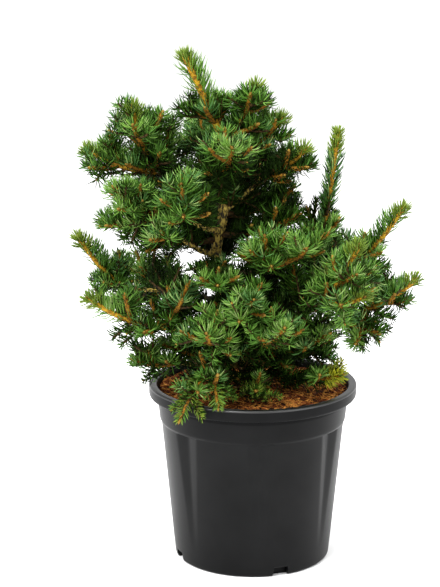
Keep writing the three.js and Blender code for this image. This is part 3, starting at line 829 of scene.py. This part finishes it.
def add_twigs(room, shoot, rng):
    """Short twigs in pairs on a side shoot, and between the whorls of a leading one."""
    if shoot.order == LEADING:
        last = LIGHT_TWIGS_TO + shoot.bare if shoot.light else TWIGS_TO
        spots = np.arange(shoot.bare + TWIGS_FROM, last, TWIG_PITCH / shoot.length)
    else:
        spots = TWIG_SPOTS[:1] if shoot.length < SHORT_SHOOT else TWIG_SPOTS
    for i, t in enumerate(spots):
        for side in (0, math.pi):
            turn = side + rng.uniform(*TWIG_TURNS) + (i % 2) * TWIG_SHIFT
            tilt = math.radians(rng.uniform(*TWIG_TILTS))
            length = TWIG_SHARE * min(shoot.length, LONG_SHOOT) * rng.uniform(*TWIG_LENGTHS)
            twig = side_shoot(shoot.mass, shoot.curve, t, turn, tilt, length, TWIG, TWIG_BARE)
            room.fit_in(twig, TWIG_GAP)


def add_filler(room, mass, stem, stretch, rng):
    """Older shoots in the shade, all along a limb."""
    for i, t in enumerate(np.arange(*stretch, FILLER_PITCH / norm(stem[2] - stem[0]))):
        turn = i * GOLDEN_TURN + rng.uniform(*FILLER_TURNS)
        tilt = math.radians(rng.uniform(*FILLER_TILTS))
        length = rng.uniform(*FILLER_LENGTHS)
        room.fit_in(side_shoot(mass, stem, t, turn, tilt, length, FILLER, FILLER_BARE), FILLER_GAP)


def add_trunk_filler(room, rng):
    for i, height in enumerate(np.arange(*FILLED_TRUNK)):
        start = trunk_at(height)
        turn = i * GOLDEN_TURN + rng.uniform(*TRUNK_FILLER_TURNS)
        length = rng.uniform(*(BACK_FILLER_LENGTHS if math.sin(turn) > BACK_FROM else TRUNK_FILLER_LENGTHS))
        heading = unit(point([math.cos(turn), math.sin(turn), rng.uniform(*TRUNK_FILLER_RISES)]))
        curve = arc(start, start + heading * length, SIDE_SAG)
        room.fit_in(Shoot("trunk", FILLER, curve, length, TRUNK_FILLER_BARE), FILLER_GAP)


# Twigs, buds and needles of one shoot

def tube_quads(sides, steps):
    k = np.arange(sides)
    following = (k + 1) % sides
    quads = np.stack([k, following, following + sides, k + sides], axis=1)
    return np.concatenate([quads + row * sides for row in range(steps)])


def tube_faces(sides, steps):
    quads = tube_quads(sides, steps)
    return np.concatenate([quads[:, [0, 1, 2]], quads[:, [0, 2, 3]]])


def tube(curve, radii, sides, steps):
    """A tapering tube along a curve."""
    t = np.linspace(0, 1, steps + 1)
    ring = ring_round(way_at(curve, t), sides) * between(radii, t)[:, None, None]
    return (point_at(curve, t)[:, None] + ring).reshape(-1, 3), tube_faces(sides, steps)


def triangles(one, other):
    """The corners of triangles that lie across two ways."""
    return one[:, None] * CORNERS[:, :1] + other[:, None] * CORNERS[:, 1:]


def spikes(corners):
    """Spikes as a mesh: three sides between the rings of each one, and a point."""
    count, each = corners.shape[:2]
    last = each - 4
    faces = []
    for k in range(3):
        following = (k + 1) % 3
        for row in range(0, last, 3):
            faces.append([row + k, row + following, row + following + 3])
            faces.append([row + k, row + following + 3, row + k + 3])
        faces.append([last + k, last + following, last + 3])
    faces = np.array(faces) + np.arange(count)[:, None, None] * each
    return corners.reshape(-1, 3), faces.reshape(-1, 3)


def pegs(curve, radii, rng):
    """The small pegs that needles stand on, all round a shoot."""
    count = int(norm(curve[2] - curve[0]) / PEG_PITCH)
    t = rng.random(count)
    way = way_at(curve, t)
    out = off_way(way, rng.uniform(-math.pi, math.pi, count)[:, None])
    place = point_at(curve, t) + out * (between(radii, t) * PEG_ROOT)[:, None]
    ring = triangles(np.cross(way, out), way * PEG_STRETCH) * PEG_RADIUS
    heading = out * math.cos(PEG_TILT) + way * math.sin(PEG_TILT)
    points = place + heading * rng.uniform(*PEG_LENGTHS, count)[:, None]
    return spikes(np.concatenate([place[:, None] + ring, points[:, None]], axis=1))


def bud(place, way, length, radius):
    """A pointed egg on the end of a shoot."""
    ring = ring_round(way, BUD_SIDES) * radius
    rows = [place + way * length * along + ring * wide for along, wide in BUD_SHAPE]
    return np.concatenate(rows), tube_faces(BUD_SIDES, len(BUD_SHAPE) - 1)


def add_buds(heap, shoot, rng):
    """A bud on the shoot's tip, and on a main shoot another beside it."""
    way = way_at(shoot.curve, 1.0)
    size = rng.uniform(*BUD_SIZES) * (1 if shoot.order <= SIDE else TWIG_BUD_SIZE)
    heap.add(*bud(shoot.tip - way, way, *TIP_BUD * size))
    if shoot.order == LEADING or rng.random() < SIDE_BUD_ODDS:
        out = off_way(way, rng.uniform(0, math.pi))
        place = shoot.tip - way * rng.uniform(*SIDE_BUD_PLACES) + out
        heap.add(*bud(place, unit(way + out), *SIDE_BUD * size))


def favoured_side(shoot, way):
    """The side of a shoot that its needles turn to: upwards, and inwards to the trunk."""
    middle = shoot.curve.mean(axis=0)
    inward = trunk_at(np.clip(middle[2], *INWARD_HEIGHTS)) - middle
    inward[2] = 0
    inward /= max(norm(inward), INWARD_LEAST)
    aim = UP + INWARD_PULL * inward + BACKWARD_PULL * point([0, 1, 0])
    side = aim - way * (way @ aim)[:, None]
    return unit(side), np.sqrt(np.minimum(norm(side, axis=1), 1))


def needles(shoot, rng, bends):
    """The needles of a shoot: corners of each, how far along the shoot it stands, and if it strays."""
    own, light = ORDERS[shoot.order], shoot.light
    count = max(FEWEST_NEEDLES, int(own.density * shoot.length * (1 - own.clothed)))
    if shoot.mass in LOW_MASSES:
        count = int(count * LOW_DENSITY)
    along = 1 - (1 - (np.arange(count) + rng.random(count)) / count) ** TIP_CROWDING[light]
    t = own.clothed + (1 - own.clothed) * along
    way = way_at(shoot.curve, t)
    side, strength = favoured_side(shoot, way)
    brush = np.clip((along - BRUSH_FROM) / (1 - BRUSH_FROM), 0, 1)
    lateral = np.cross(way, side)
    turn = (np.arange(count) * GOLDEN_TURN + math.pi) % (2 * math.pi) - math.pi
    parting = LIGHT_PARTINGS.get(shoot.mass, LIGHT_PARTING) if light else own.parting
    turn = turn * (1 - parting * strength * (1 - brush)) + rng.normal(0, TURN_SPREAD, count)
    stray = rng.random(count) < STRAY_SHARE[light]
    turn = np.where(stray, rng.uniform(-math.pi, math.pi, count), turn)
    radial = side * np.cos(turn)[:, None] + lateral * np.sin(turn)[:, None]
    base, spread = OWN_TILTS.get(shoot.mass, TILT_BASE), TIP_SPREAD[light]
    tilt = base + (TILT_TIP - base) * brush ** 2 + rng.normal(0, TILT_SPREAD, count)
    tilt = np.radians(tilt + rng.uniform(-spread, spread, count) * brush)
    heading = way * np.cos(tilt)[:, None] + radial * np.sin(tilt)[:, None]
    aim = unit(UP * OWN_LIFTS.get(shoot.mass, AIM_UP) + way * AIM_AHEAD + heading * AIM_OUT)
    size = own.needle * np.interp(shoot.tip[2], *NEEDLE_SHARES) * rng.uniform(*NEEDLE_SPREAD, count)
    size *= 1 - TIP_SHORTENING[light] * brush - FOOT_SHORTENING * (1 - along) ** FOOT_STRETCH
    size *= NEEDLE_SHORTENING.get(shoot.mass, 1) * np.where(stray, STRAY_LENGTH[light], 1)
    # The small share of lateral keeps the cross product from vanishing
    hinge = unit(np.cross(heading, aim) + 0.01 * lateral)
    place = point_at(shoot.curve, t) + radial * own.radii[1] * NEEDLE_ROOT
    most = CURL * (rng.uniform(*CURL_SPREAD, count) * np.where(stray, STRAY_CURL, 1))[:, None]
    wide = (NEEDLE_RADIUS * np.where(stray, STRAY_WIDTH, 1))[:, None, None]
    rings = []
    for bend in range(bends + 1):
        curl = most * bend / bends
        ahead = unit(heading * (1 - curl) + aim * curl)
        rings.append(place[:, None] + triangles(hinge, np.cross(ahead, hinge)) * wide * NEEDLE_WIDTHS[bend])
        place = place + ahead * (size / (bends + 1))[:, None]
    return np.concatenate([*rings, place[:, None]], axis=1), along, stray


# Colours of the needles, and what hides the wood

def green_of(shoot, main_tips, rng):
    """The green of a spray: darker for the finer twigs and for those with main shoots outside them, and
    darkest for finer twigs low by the trunk. This darkness is painted shade.
    """
    outward = unit(shoot.tip - CROWN_MIDDLE)
    near = main_tips[norm(main_tips - shoot.tip, axis=1) < COVER_WITHIN]
    covers = np.count_nonzero((near - shoot.tip) @ outward > COVER_AHEAD)
    level = 0 if covers == 0 else 1 if covers < WELL_COVERED else 2
    off_axis = norm((shoot.tip - trunk_at(shoot.tip[2]))[:2])
    if shoot.order > SIDE and shoot.tip[2] < DEEP_LOW and off_axis < DEEP_WITHIN:
        return "shade"
    if off_axis > SHADE_WITHIN or shoot.tip[2] > TOP_FROM:
        level = 0
    chances = GREEN_CHANCES[shoot.order][level]
    if shoot.tip[2] < LOW_TUFT_UNDER:
        chances = LOW_CHANCES
    return str(rng.choice(GREENS, p=chances))


def stepped(kind, step):
    """The green that is some steps darker or lighter than another. Blue stands between green and bright."""
    if step == 0:
        return kind
    if kind == "blue":
        kind = "bright" if step > 0 else "green"
    return LADDER[max(0, LADDER.index(kind) + step)]


def seen(points):
    """Where points stand across the view from the front, and how far off they are."""
    off = points - np.array(CAMERA_PLACE) / MM
    return off[..., [0, 2]] / off[..., 1:2], off[..., 1]


def outer_points(corners):
    """Points along needles, away from the wood that bears them."""
    points = corners[:, ::3]
    return np.concatenate([points[:, 1:], (points[:, 2:] + points[:, 1:-1]) / 2], axis=1)


class Sight:
    """The stretch of a leading shoot's wood that shows from the front."""

    def __init__(self, shoot):
        self.line, self.depths = seen(point_at(shoot.curve, np.linspace(*BARED_STRETCH, BARED_STEPS)))
        self.middle = (self.line[0] + self.line[-1]) / 2
        self.reach = norm(self.line[0] - self.line[-1]) / 2 + BARED_NEAR / self.depths[0]
        self.wide = BARED_WIDTH * ORDERS[LEADING].radii[1] / self.depths[0]
        self.odds = BARED_ODDS[shoot.light]

    def missing(self, places, depths, rng):
        """Which needles are missing before the wood."""
        before = np.zeros(len(places), dtype=bool)
        if norm(places[0, -1] - self.middle) > self.reach:
            return before
        for a, b, near, far in zip(self.line, self.line[1:], self.depths, self.depths[1:]):
            share = np.clip((places - a) @ (b - a) / ((b - a) @ (b - a)), 0, 1)
            gaps = norm(places - a - share[..., None] * (b - a), axis=-1)
            before |= ((gaps < self.wide) & (depths < between((near, far), share))).any(axis=1)
        return before & (rng.random(len(places)) < self.odds)


def add_needles(heaps, shoot, sights, main_tips, rng, bare_rng):
    kind = green_of(shoot, main_tips, rng)
    bends = 1 if kind in ("shade", "dark") else ORDERS[shoot.order].bends
    corners, along, stray = needles(shoot, rng, bends)
    kept = np.ones(len(corners), dtype=bool)
    places, depths = seen(outer_points(corners))
    for sight in sights:
        kept &= ~sight.missing(places, depths, bare_rng)
    corners, along, stray = corners[kept], along[kept], stray[kept]
    yellowed = shoot.mass in YELLOW_MASSES
    if yellowed:
        tuft = (corners[:, 0, 0] > YELLOW_OUT) & (rng.random(len(along)) < YELLOW_SHARE)
    elif shoot.mass in LOW_MASSES and shoot.tip[2] < LOW_TUFT_UNDER:
        tuft = (along > LOW_TUFT[0]) & (rng.random(len(along)) < LOW_TUFT[1])
    else:
        tuft = (along > TIP_TUFT) & shoot.light
    # Painted shade and light: needles towards the shoot's foot, and stray ones, go darker; needles towards
    # its tip go lighter
    chance = rng.random(len(along)) / DARK_SHARE[shoot.light]
    step = np.select([
        chance < between(DEEP_ODDS, along ** 0.5),
        stray | (chance < between(DARKER_ODDS, along)),
        rng.random(len(along)) < between(LIGHTER_ODDS, along),
    ], [-2, -1, 1], 0)
    for part in range(-2, 2):
        chosen = ~tuft & (step == part)
        if chosen.any():
            heaps[stepped(kind, part)].add(*spikes(corners[chosen]))
    if tuft.any():
        heaps["yellow" if yellowed else "tip"].add(*spikes(corners[tuft]))


def add_wood(heaps, shoot, rng):
    own = ORDERS[shoot.order]
    wood = "leading_wood" if shoot.light else own.wood
    thick = LIGHT_WOODS.get(shoot.mass, LIGHT_WOOD) if shoot.light else np.interp(shoot.tip[2], *LOW_WOOD)
    curve, radii = shoot.curve, [radius * thick for radius in own.radii]
    sides, steps = own.tube
    if shoot.bare == STEM_BARE_ON_TRUNK:
        joint = between(radii, shoot.bare)
        foot = stretch_of(curve, 0, shoot.bare)
        heaps["old_wood"].add(*tube(foot, (radii[0], joint), sides, STEM_STEPS))
        curve, radii = stretch_of(curve, shoot.bare, 1), (joint, radii[1])
    heaps[wood].add(*tube(curve, radii, sides, steps))
    if shoot.order <= SIDE:
        for skin in (wood, DARKER_WOODS[wood]):
            heaps[skin].add(*pegs(curve, radii, rng))
    if shoot.order <= SIDE or rng.random() < TWIG_BUD_ODDS:
        add_buds(heaps["bud"], shoot, rng)


def dress(shoots):
    """Heaps of twigs, buds and needles by kind."""
    kinds = (*GREENS, "pale", "tip", "yellow", "leading_wood", "new_wood", "old_wood", "bud")
    heaps = {kind: Heap() for kind in kinds}
    sights = [Sight(shoot) for shoot in shoots if shoot.order == LEADING]
    main_tips = np.array([shoot.tip for shoot in shoots if shoot.order <= SIDE])
    rng, bare_rng = (np.random.default_rng(seed) for seed in (LOOKS_SEED, BARED_SEED))
    for shoot in shoots:
        add_needles(heaps, shoot, sights, main_tips, rng, bare_rng)
        if shoot.order < BOUGH:
            add_wood(heaps, shoot, rng)
    return heaps


# Bark

def bark_tube(centres, radii, sides, seed, relief):
    """A limb with furrowed bark. Its rings are square to its way."""
    rings = ring_round(unit(np.gradient(centres, axis=0)), sides)
    shift = Vector((seed * BARK_SHIFT, 0, 0))
    vertices = []
    for centre, ring, radius in zip(centres, rings, radii):
        for out in ring:
            spot = Vector(centre + out * radius)
            ridges, scales, scars = (noise.noise(spot * fineness + shift) for fineness in BARK_FINENESS)
            waves = (ridges, scales, max(0.0, scars - SCARS_FROM))
            rise = sum(height * wave for height, wave in zip(BARK_HEIGHTS, waves))
            vertices.append(centre + out * (radius * (1 + relief * rise)))
    return np.array(vertices), tube_faces(sides, len(centres) - 1)


def swelling(size, reach, off):
    return size * np.exp(-(off / reach) ** 2)


def trunk_bark():
    heights = np.arange(TRUNK[0, 2] - TRUNK_BARK_SUNK, TRUNK_TOP + 1, TRUNK_BARK_STEP)
    centres = trunk_at(heights).T
    centres[:, 2] = heights
    window = 2 * TRUNK_SMOOTHING + 1
    for axis in range(2):
        padded = np.pad(centres[:, axis], TRUNK_SMOOTHING, mode="edge")
        centres[:, axis] = np.convolve(padded, np.ones(window) / window, mode="valid")
    radii = np.interp(heights, TRUNK[:, 2], TRUNK[:, 3])
    for mass in MASSES:
        if mass.bough:
            radii += swelling(*TRUNK_SWELLING, heights - mass.height)
    radii = np.minimum(radii, TRUNK[0, 3]) * TRUNK_BARK_SHARE
    return bark_tube(centres, radii, TRUNK_BARK_SIDES, 1, TRUNK_BARK_RELIEF)


def bough_bark(bough, seed):
    length = norm(bough[2] - bough[0])
    t = np.linspace(0, BOUGH_BARK_END, int(length / BOUGH_BARK_STEP))
    radii = BOUGH_TIP_RADIUS + BOUGH_TAPER * length * (1 - np.minimum(t, 1))
    radii += swelling(*BOUGH_SWELLING, t * length)
    return bark_tube(point_at(bough, t), radii, BOUGH_BARK_SIDES, seed, 1.0)


# Pot

def body_radius(height):
    return POT_FOOT_RADIUS + (BODY_TOP_RADIUS - POT_FOOT_RADIUS) * height / BODY_TOP


def rounded(profile, radius, steps=4):
    """A profile whose corners are rounded off, each within half of its shorter side."""
    profile = point(profile)
    points = [profile[:1]]
    for before, corner, after in zip(profile, profile[1:], profile[2:]):
        back, on = before - corner, after - corner
        cut = min(radius, norm(back) * CUT_SHARE, norm(on) * CUT_SHARE)
        bend = np.array([corner + unit(back) * cut, corner, corner + unit(on) * cut])
        points.append(point_at(bend, np.linspace(0, 1, steps)))
    return np.concatenate([*points, profile[-1:]])


def flute_depth(angle, height):
    """How far the wall is pressed in: each flute widens and deepens from its foot upwards."""
    rise = np.clip((height - FLUTE_FOOT) / (BODY_TOP - FLUTE_FOOT), 0, 1)
    pitch = 2 * math.pi / FLUTE_COUNT
    off = (angle - math.radians(FLUTE_TURN) + pitch / 2) % pitch - pitch / 2
    half = np.radians(between(FLUTE_HALF_WIDTHS, rise))
    share = np.clip(FLUTE_FLAT - np.hypot(off / half, FLUTE_SOFTNESS), 0, 1)
    return FLUTE_DEPTH * rise * share


def pot_piece(skins):
    """The pot, with a skin for its body, its collar, the two bands under its rim, its rim and the rim's
    edge. The duller skins of the collar and of the bands under the rim are painted shade, and the glossy
    skin of the rim's edge is a painted highlight.
    """
    rim_inner = RIM_RADIUS - RIM_WIDTH
    outer = [
        (0, 0),
        (POT_FOOT_RADIUS - POT_FOOT_ROUNDING, 0),
        (POT_FOOT_RADIUS, POT_FOOT_ROUNDING),
        (body_radius(FLUTE_FOOT), FLUTE_FOOT),
        (BODY_TOP_RADIUS, BODY_TOP),
        (BODY_TOP_RADIUS + COLLAR_STEP, BODY_TOP + COLLAR_STEP_RISE),
        (COLLAR_TOP_RADIUS, COLLAR_TOP),
        (RIM_RADIUS - RIM_ROUNDING / 2, COLLAR_TOP + 1),
        (RIM_RADIUS, COLLAR_TOP + 1 + RIM_ROUNDING),
        (RIM_RADIUS, POT_HEIGHT - RIM_EDGE * 1.2),
        *((RIM_RADIUS - RIM_EDGE * (1 - math.cos(a)), POT_HEIGHT - RIM_EDGE * (1 - math.sin(a)))
          for a in np.radians((10, 25, 40, 55, 70, 85))),
        (rim_inner, POT_HEIGHT),
        (rim_inner - RIM_ROUNDING, POT_HEIGHT - RIM_ROUNDING),
        (COLLAR_TOP_RADIUS - POT_WALL, COLLAR_TOP),
        (BODY_TOP_RADIUS - POT_WALL, BODY_TOP - 20),
    ]
    path = rounded(outer, PROFILE_ROUNDING)
    wall = []
    for a, b in zip(path, path[1:]):
        parts = max(1, int(abs(b[1] - a[1]) / WALL_STEP))
        wall += [a + (b - a) * k / parts for k in range(parts)]
    wall = np.array([*wall, path[-1]])
    radii, heights = wall[:, :1], wall[:, 1:]
    angles = np.arange(WALL_SIDES) * 2 * math.pi / WALL_SIDES
    pressed = (radii > WALL_FROM) & (heights <= BODY_TOP)
    radii = radii - np.where(pressed, flute_depth(angles, heights), 0)
    rows = [radii * np.cos(angles), radii * np.sin(angles), np.broadcast_to(heights, radii.shape)]
    vertices = np.stack(rows, axis=-1).reshape(-1, 3)
    pot = piece("nursery_pot", vertices, tube_quads(WALL_SIDES, len(wall) - 1), skins[0], "pot_plastic")
    for k in range(NOTCH_COUNT):
        cut_notch(pot, math.radians(NOTCH_TURN + k * 360 / NOTCH_COUNT))
    for skin in skins[1:]:
        pot.data.materials.append(skin)
    # Each band of the outer wall takes its own gloss: painted shade under the rim, and a painted highlight
    # on the rim's edge
    for face in pot.data.polygons:
        x, y, height = face.center / MM
        if math.hypot(x, y) > BODY_TOP_RADIUS - 1:
            face.material_index = int(np.searchsorted(POT_BANDS, height))
    return pot


def cut_notch(pot, turn):
    """Cuts one drain notch through the pot's foot, out to its side."""
    inner, outer, low = NOTCH_INNER_RADIUS, POT_FOOT_RADIUS + NOTCH_PAST, -NOTCH_PAST
    wide, slim = NOTCH_WIDTH / 2, NOTCH_TOP_WIDTH / 2
    out = np.array([math.cos(turn), math.sin(turn), 0])
    side = np.array([-math.sin(turn), math.cos(turn), 0])
    section = [(-wide, low), (wide, low), (slim, NOTCH_HEIGHT), (-slim, NOTCH_HEIGHT)]
    corners = [out * r + side * s + UP * z for r in (inner, outer) for s, z in section]
    faces = [(3, 2, 1, 0), (4, 5, 6, 7), (0, 1, 5, 4), (1, 2, 6, 5), (2, 3, 7, 6), (3, 0, 4, 7)]
    mesh = bpy.data.meshes.new("notch")
    mesh.from_pydata([tuple(c * MM) for c in corners], [], faces)
    cutter = placed("notch", mesh)
    modifier = pot.modifiers.new("notch", "BOOLEAN")
    modifier.object = cutter
    modifier.solver = "EXACT"
    bpy.context.view_layer.update()
    shaped = bpy.data.meshes.new_from_object(pot.evaluated_get(bpy.context.evaluated_depsgraph_get()))
    pot.modifiers.clear()
    pot.data = shaped
    bpy.data.objects.remove(cutter)


# Filling

def filling_top(x, y):
    """The height of the filling, with its waves."""
    edge = RIM_RADIUS - RIM_WIDTH - RIM_ROUNDING
    radii = (0, FILLING_FLAT_RADIUS, edge * FILLING_HALFWAY[0], edge)
    level = np.interp(math.hypot(x, y), radii, (FILLING_TOP, FILLING_TOP, FILLING_HALFWAY[1], FILLING_EDGE))
    return float(level) + sum(high * noise.noise(Vector((x, y, 0)) * fine) for fine, high in FILLING_WAVES)


def polar(radius, angle):
    return radius * math.cos(angle), radius * math.sin(angle)


def random_place(reach, rng):
    return polar(reach * math.sqrt(rng.random()), rng.uniform(0, 2 * math.pi))


def filling_piece(mould):
    vertices = []
    for ring in range(FILLING_RINGS + 1):
        for k in range(FILLING_SIDES):
            x, y = polar(FILLING_REACH * ring / FILLING_RINGS, 2 * math.pi * k / FILLING_SIDES)
            vertices.append((x, y, filling_top(x, y)))
    low = [(x * FILLING_TAPER, y * FILLING_TAPER, FILLING_LOW) for x, y, _ in vertices[-FILLING_SIDES:]]
    faces = tube_quads(FILLING_SIDES, FILLING_RINGS + 1)[:, ::-1]
    return piece("filling_top", vertices + low, faces, mould, "potting_bark")


def fibre(rng):
    """A strand of coir that lies on the filling."""
    x, y = random_place(FIBRE_REACH, rng)
    length = rng.uniform(*FIBRE_LENGTHS)
    turn = rng.uniform(0, 2 * math.pi)
    bend = rng.uniform(*FIBRE_BENDS)
    points = []
    for share, off in ((-0.5, -bend / 2), (0, 0), (0.5, bend / 2)):
        across_x, across_y = polar(length * share, turn + off)
        px, py = x + across_x, y + across_y
        squeeze = min(1, FILLING_REACH / max(1, math.hypot(px, py)))
        points.append((px * squeeze, py * squeeze, filling_top(px, py) + rng.uniform(*FIBRE_LIFTS)))
    curve = point(points)
    curve[1] = curve[1] * 2 - (curve[0] + curve[2]) / 2
    thick = rng.uniform(*FIBRE_RADII)
    return tube(curve, (thick, thick * FIBRE_TAPER), *FIBRE_STEPS)


CHIP_CORNERS = np.array([[x, y, z] for z in (-1, 1) for y in (-1, 1) for x in (-1, 1)], dtype=float)
CHIP_FACES = np.array([
    [0, 2, 1], [1, 2, 3], [4, 5, 6], [5, 7, 6], [0, 1, 4], [1, 5, 4],
    [2, 6, 3], [3, 6, 7], [0, 4, 2], [2, 4, 6], [1, 3, 5], [3, 7, 5],
])


def chip(rng):
    """A flake of bark that lies askew on the filling."""
    x, y = random_place(CHIP_REACH, rng)
    size = point([rng.uniform(*limits) for limits in CHIP_SIZES])
    corners = CHIP_CORNERS * size * rng.uniform(*CHIP_ROUGHNESS, (8, 1))
    tilts = rng.normal(0, CHIP_TILT, 2)
    cos, sin = polar(1, rng.uniform(0, 2 * math.pi))
    corners[:, 2] += corners[:, :2] @ tilts
    corners[:, :2] = corners[:, :2] @ point([[cos, sin], [-sin, cos]])
    return corners + [x, y, filling_top(x, y) + rng.uniform(*CHIP_LIFTS)], CHIP_FACES


def litter(browns):
    """The loose bits on the filling, each shade of brown a piece."""
    rng = np.random.default_rng(LITTER_SEED)
    for i, brown in enumerate(browns):
        heap = Heap()
        for count, bit in ((FIBRE_COUNTS[i], fibre), (CHIP_COUNTS[i], chip)):
            for _ in range(count):
                heap.add(*bit(rng))
        heap.pieces(f"filling_bits_{i + 1}", brown, "potting_bark")


# The plant

def build_plant():
    bark, shaded_bark = (
        material(name, shade(dark), shade(light), 400, 0.85, 1.0, (1, 1, 0.5), 8,
                 bump_scale=700, edges=(0.42, 0.6))
        for name, dark, light in (("bark", "#1e1a0a", "#b09843"), ("bark_shaded", "#120f08", "#4c3f1e"))
    )
    woods = {
        "leading_wood": ((0.13, 0.058, 0.004), (0.42, 0.245, 0.012)),
        "new_wood": ((0.1, 0.042, 0.003), (0.28, 0.135, 0.01)),
        "old_wood": ((0.014, 0.007, 0.002), (0.062, 0.035, 0.009)),
        "bud": ((0.11, 0.055, 0.007), (0.26, 0.16, 0.025)),
    }
    wood_skins = {
        kind: material(kind, dark, light, 300, 0.7, 1.0, bump_scale=800, specular=0.15, edges=(0.38, 0.62))
        for kind, (dark, light) in woods.items()
    }
    # Copies of the one plastic, one for each band's gloss: painted shade under the rim, and a painted
    # highlight on the rim's edge
    plastics = [
        material(f"pot_plastic_{i + 1}", (0.0028, 0.0029, 0.003), (0.005, 0.0051, 0.0053), 24, 0.38, 0.12,
                 rough_spread=0.05, specular=gloss, bump_scale=1600)
        for i, gloss in enumerate(POT_GLOSS_AND_PAINTED_LIGHT)
    ]
    mould = material("filling", shade("#100704"), shade("#542d15"), 150, 0.95, 1.0, specular=0.1,
                     bump_scale=600, edges=(0.4, 0.66))
    browns = [
        material(f"bits_{name}", shade(dark), shade(light), 200, roughness, 0.6, specular=specular)
        for name, dark, light, roughness, specular in (
            ("dark", "#2a1408", "#4c2812", 0.9, 0.15),
            ("red", "#5c2c12", "#8a4a20", 0.9, 0.15),
            ("tan", "#a05a1e", "#d89a48", 0.85, 0.2),
        )
    ]
    # Greens of the needles. Which spray and needle takes which is partly random tone and partly painted:
    # shade and dark stand for shade inside the crown, and bright and pale for light on its outside; tip and
    # yellow are the shoots' own colours
    greens = {
        "shade": ((0.003, 0.008, 0.001), (0.008, 0.018, 0.002)),
        "dark": ((0.01, 0.028, 0.002), (0.02, 0.052, 0.004)),
        "green": ((0.03, 0.085, 0.006), (0.055, 0.15, 0.012)),
        "blue": ((0.03, 0.085, 0.014), (0.05, 0.14, 0.03)),
        "bright": ((0.075, 0.165, 0.016), (0.13, 0.25, 0.035)),
        "pale": ((0.13, 0.21, 0.05), (0.21, 0.3, 0.09)),
        "tip": ((0.06, 0.11, 0.008), (0.14, 0.2, 0.016)),
        "yellow": ((0.19, 0.22, 0.01), (0.42, 0.42, 0.02)),
    }
    # The shade and dark greens also gleam less, which deepens their painted shade
    needle_skins = {
        kind: material(f"needle_{kind}", dark, light, 60, 0.55, 0.15, detail=2,
                       specular=0.03 if kind in ("shade", "dark") else 0.2)
        for kind, (dark, light) in greens.items()
    }
    heaps = dress(grow())
    masses = [f"mass_{mass.name}" for mass in MASSES]
    yellow = [f"mass_{name}" for name in YELLOW_MASSES]
    plain = [name for name in masses if name not in yellow]
    for kind, skin in needle_skins.items():
        slot = "needles_yellow" if kind == "yellow" else "needles_green"
        for made in heaps[kind].pieces(f"needles_{kind}", skin, slot, smooth=False):
            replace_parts(made, *(yellow if kind == "yellow" else plain))
    for kind, skin in wood_skins.items():
        for made in heaps[kind].pieces("buds" if kind == "bud" else f"twigs_{kind}", skin, "bark"):
            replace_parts(made, *masses)
    trunk = piece("trunk_bark", *trunk_bark(), bark, "bark")
    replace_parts(trunk, "trunk")
    for title, lit, skin in (("bough_bark", True, bark), ("bough_bark_shaded", False, shaded_bark)):
        heap = Heap()
        chosen = [name for name in BOUGHS if (name in LIT_BOUGHS) == lit]
        for name in chosen:
            heap.add(*bough_bark(BOUGHS[name], list(BOUGHS).index(name) + 2))
        for made in heap.pieces(title, skin, "bark"):
            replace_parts(made, *(f"bough_{name}" for name in chosen))
    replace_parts(pot_piece(plastics), "pot")
    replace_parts(filling_piece(mould), "pot_filling")
    litter(browns)


# Studio

def area_light(name, place, aim, size, power):
    lamp = bpy.data.lights.new(name, "AREA")
    lamp.shape = "RECTANGLE"
    lamp.size, lamp.size_y = size
    lamp.energy = power
    thing = placed(name, lamp)
    thing.location = place
    thing.rotation_euler = (Vector(aim) - Vector(place)).to_track_quat("-Z", "Y").to_euler()


def studio():
    scene = bpy.context.scene
    scene.view_settings.view_transform = "Standard"
    world = bpy.data.worlds.new("studio")
    scene.world = world
    world.use_nodes = True
    sky = world.node_tree.nodes["Background"].inputs
    sky["Color"].default_value = (1, 1, 1, 1)
    sky["Strength"].default_value = SKY_STRENGTH
    area_light("key", (-1.2, -1.5, 2.0), (0, 0, 0.4), (1.4, 1.4), 80)
    area_light("fill", (1.6, -1.2, 1.2), (0, 0, 0.35), (1.0, 1.4), 18)
    area_light("top", (0, 0.1, 2.4), (0, 0, 0.3), (1.8, 1.8), 90)
    mesh = bpy.data.meshes.new("floor")
    corners = [(x * FLOOR_HALF, y * FLOOR_HALF, 0) for x, y in ((-1, -1), (1, -1), (1, 1), (-1, 1))]
    mesh.from_pydata(corners, [], [(0, 1, 2, 3)])
    mesh.materials.append(material("floor", (0.88, 0.88, 0.88), (0.9, 0.9, 0.9), 8, 0.8, 0.02, specular=0.1))
    placed("floor", mesh)


def camera():
    data = bpy.data.cameras.new("camera")
    data.lens = CAMERA_LENS
    data.clip_end = CAMERA_REACH
    thing = placed("camera", data)
    thing.location = CAMERA_PLACE
    thing.rotation_euler = (math.radians(90 + CAMERA_PITCH), 0, math.radians(CAMERA_TURN))
    bpy.context.scene.camera = thing


camera()
studio()
build_plant()
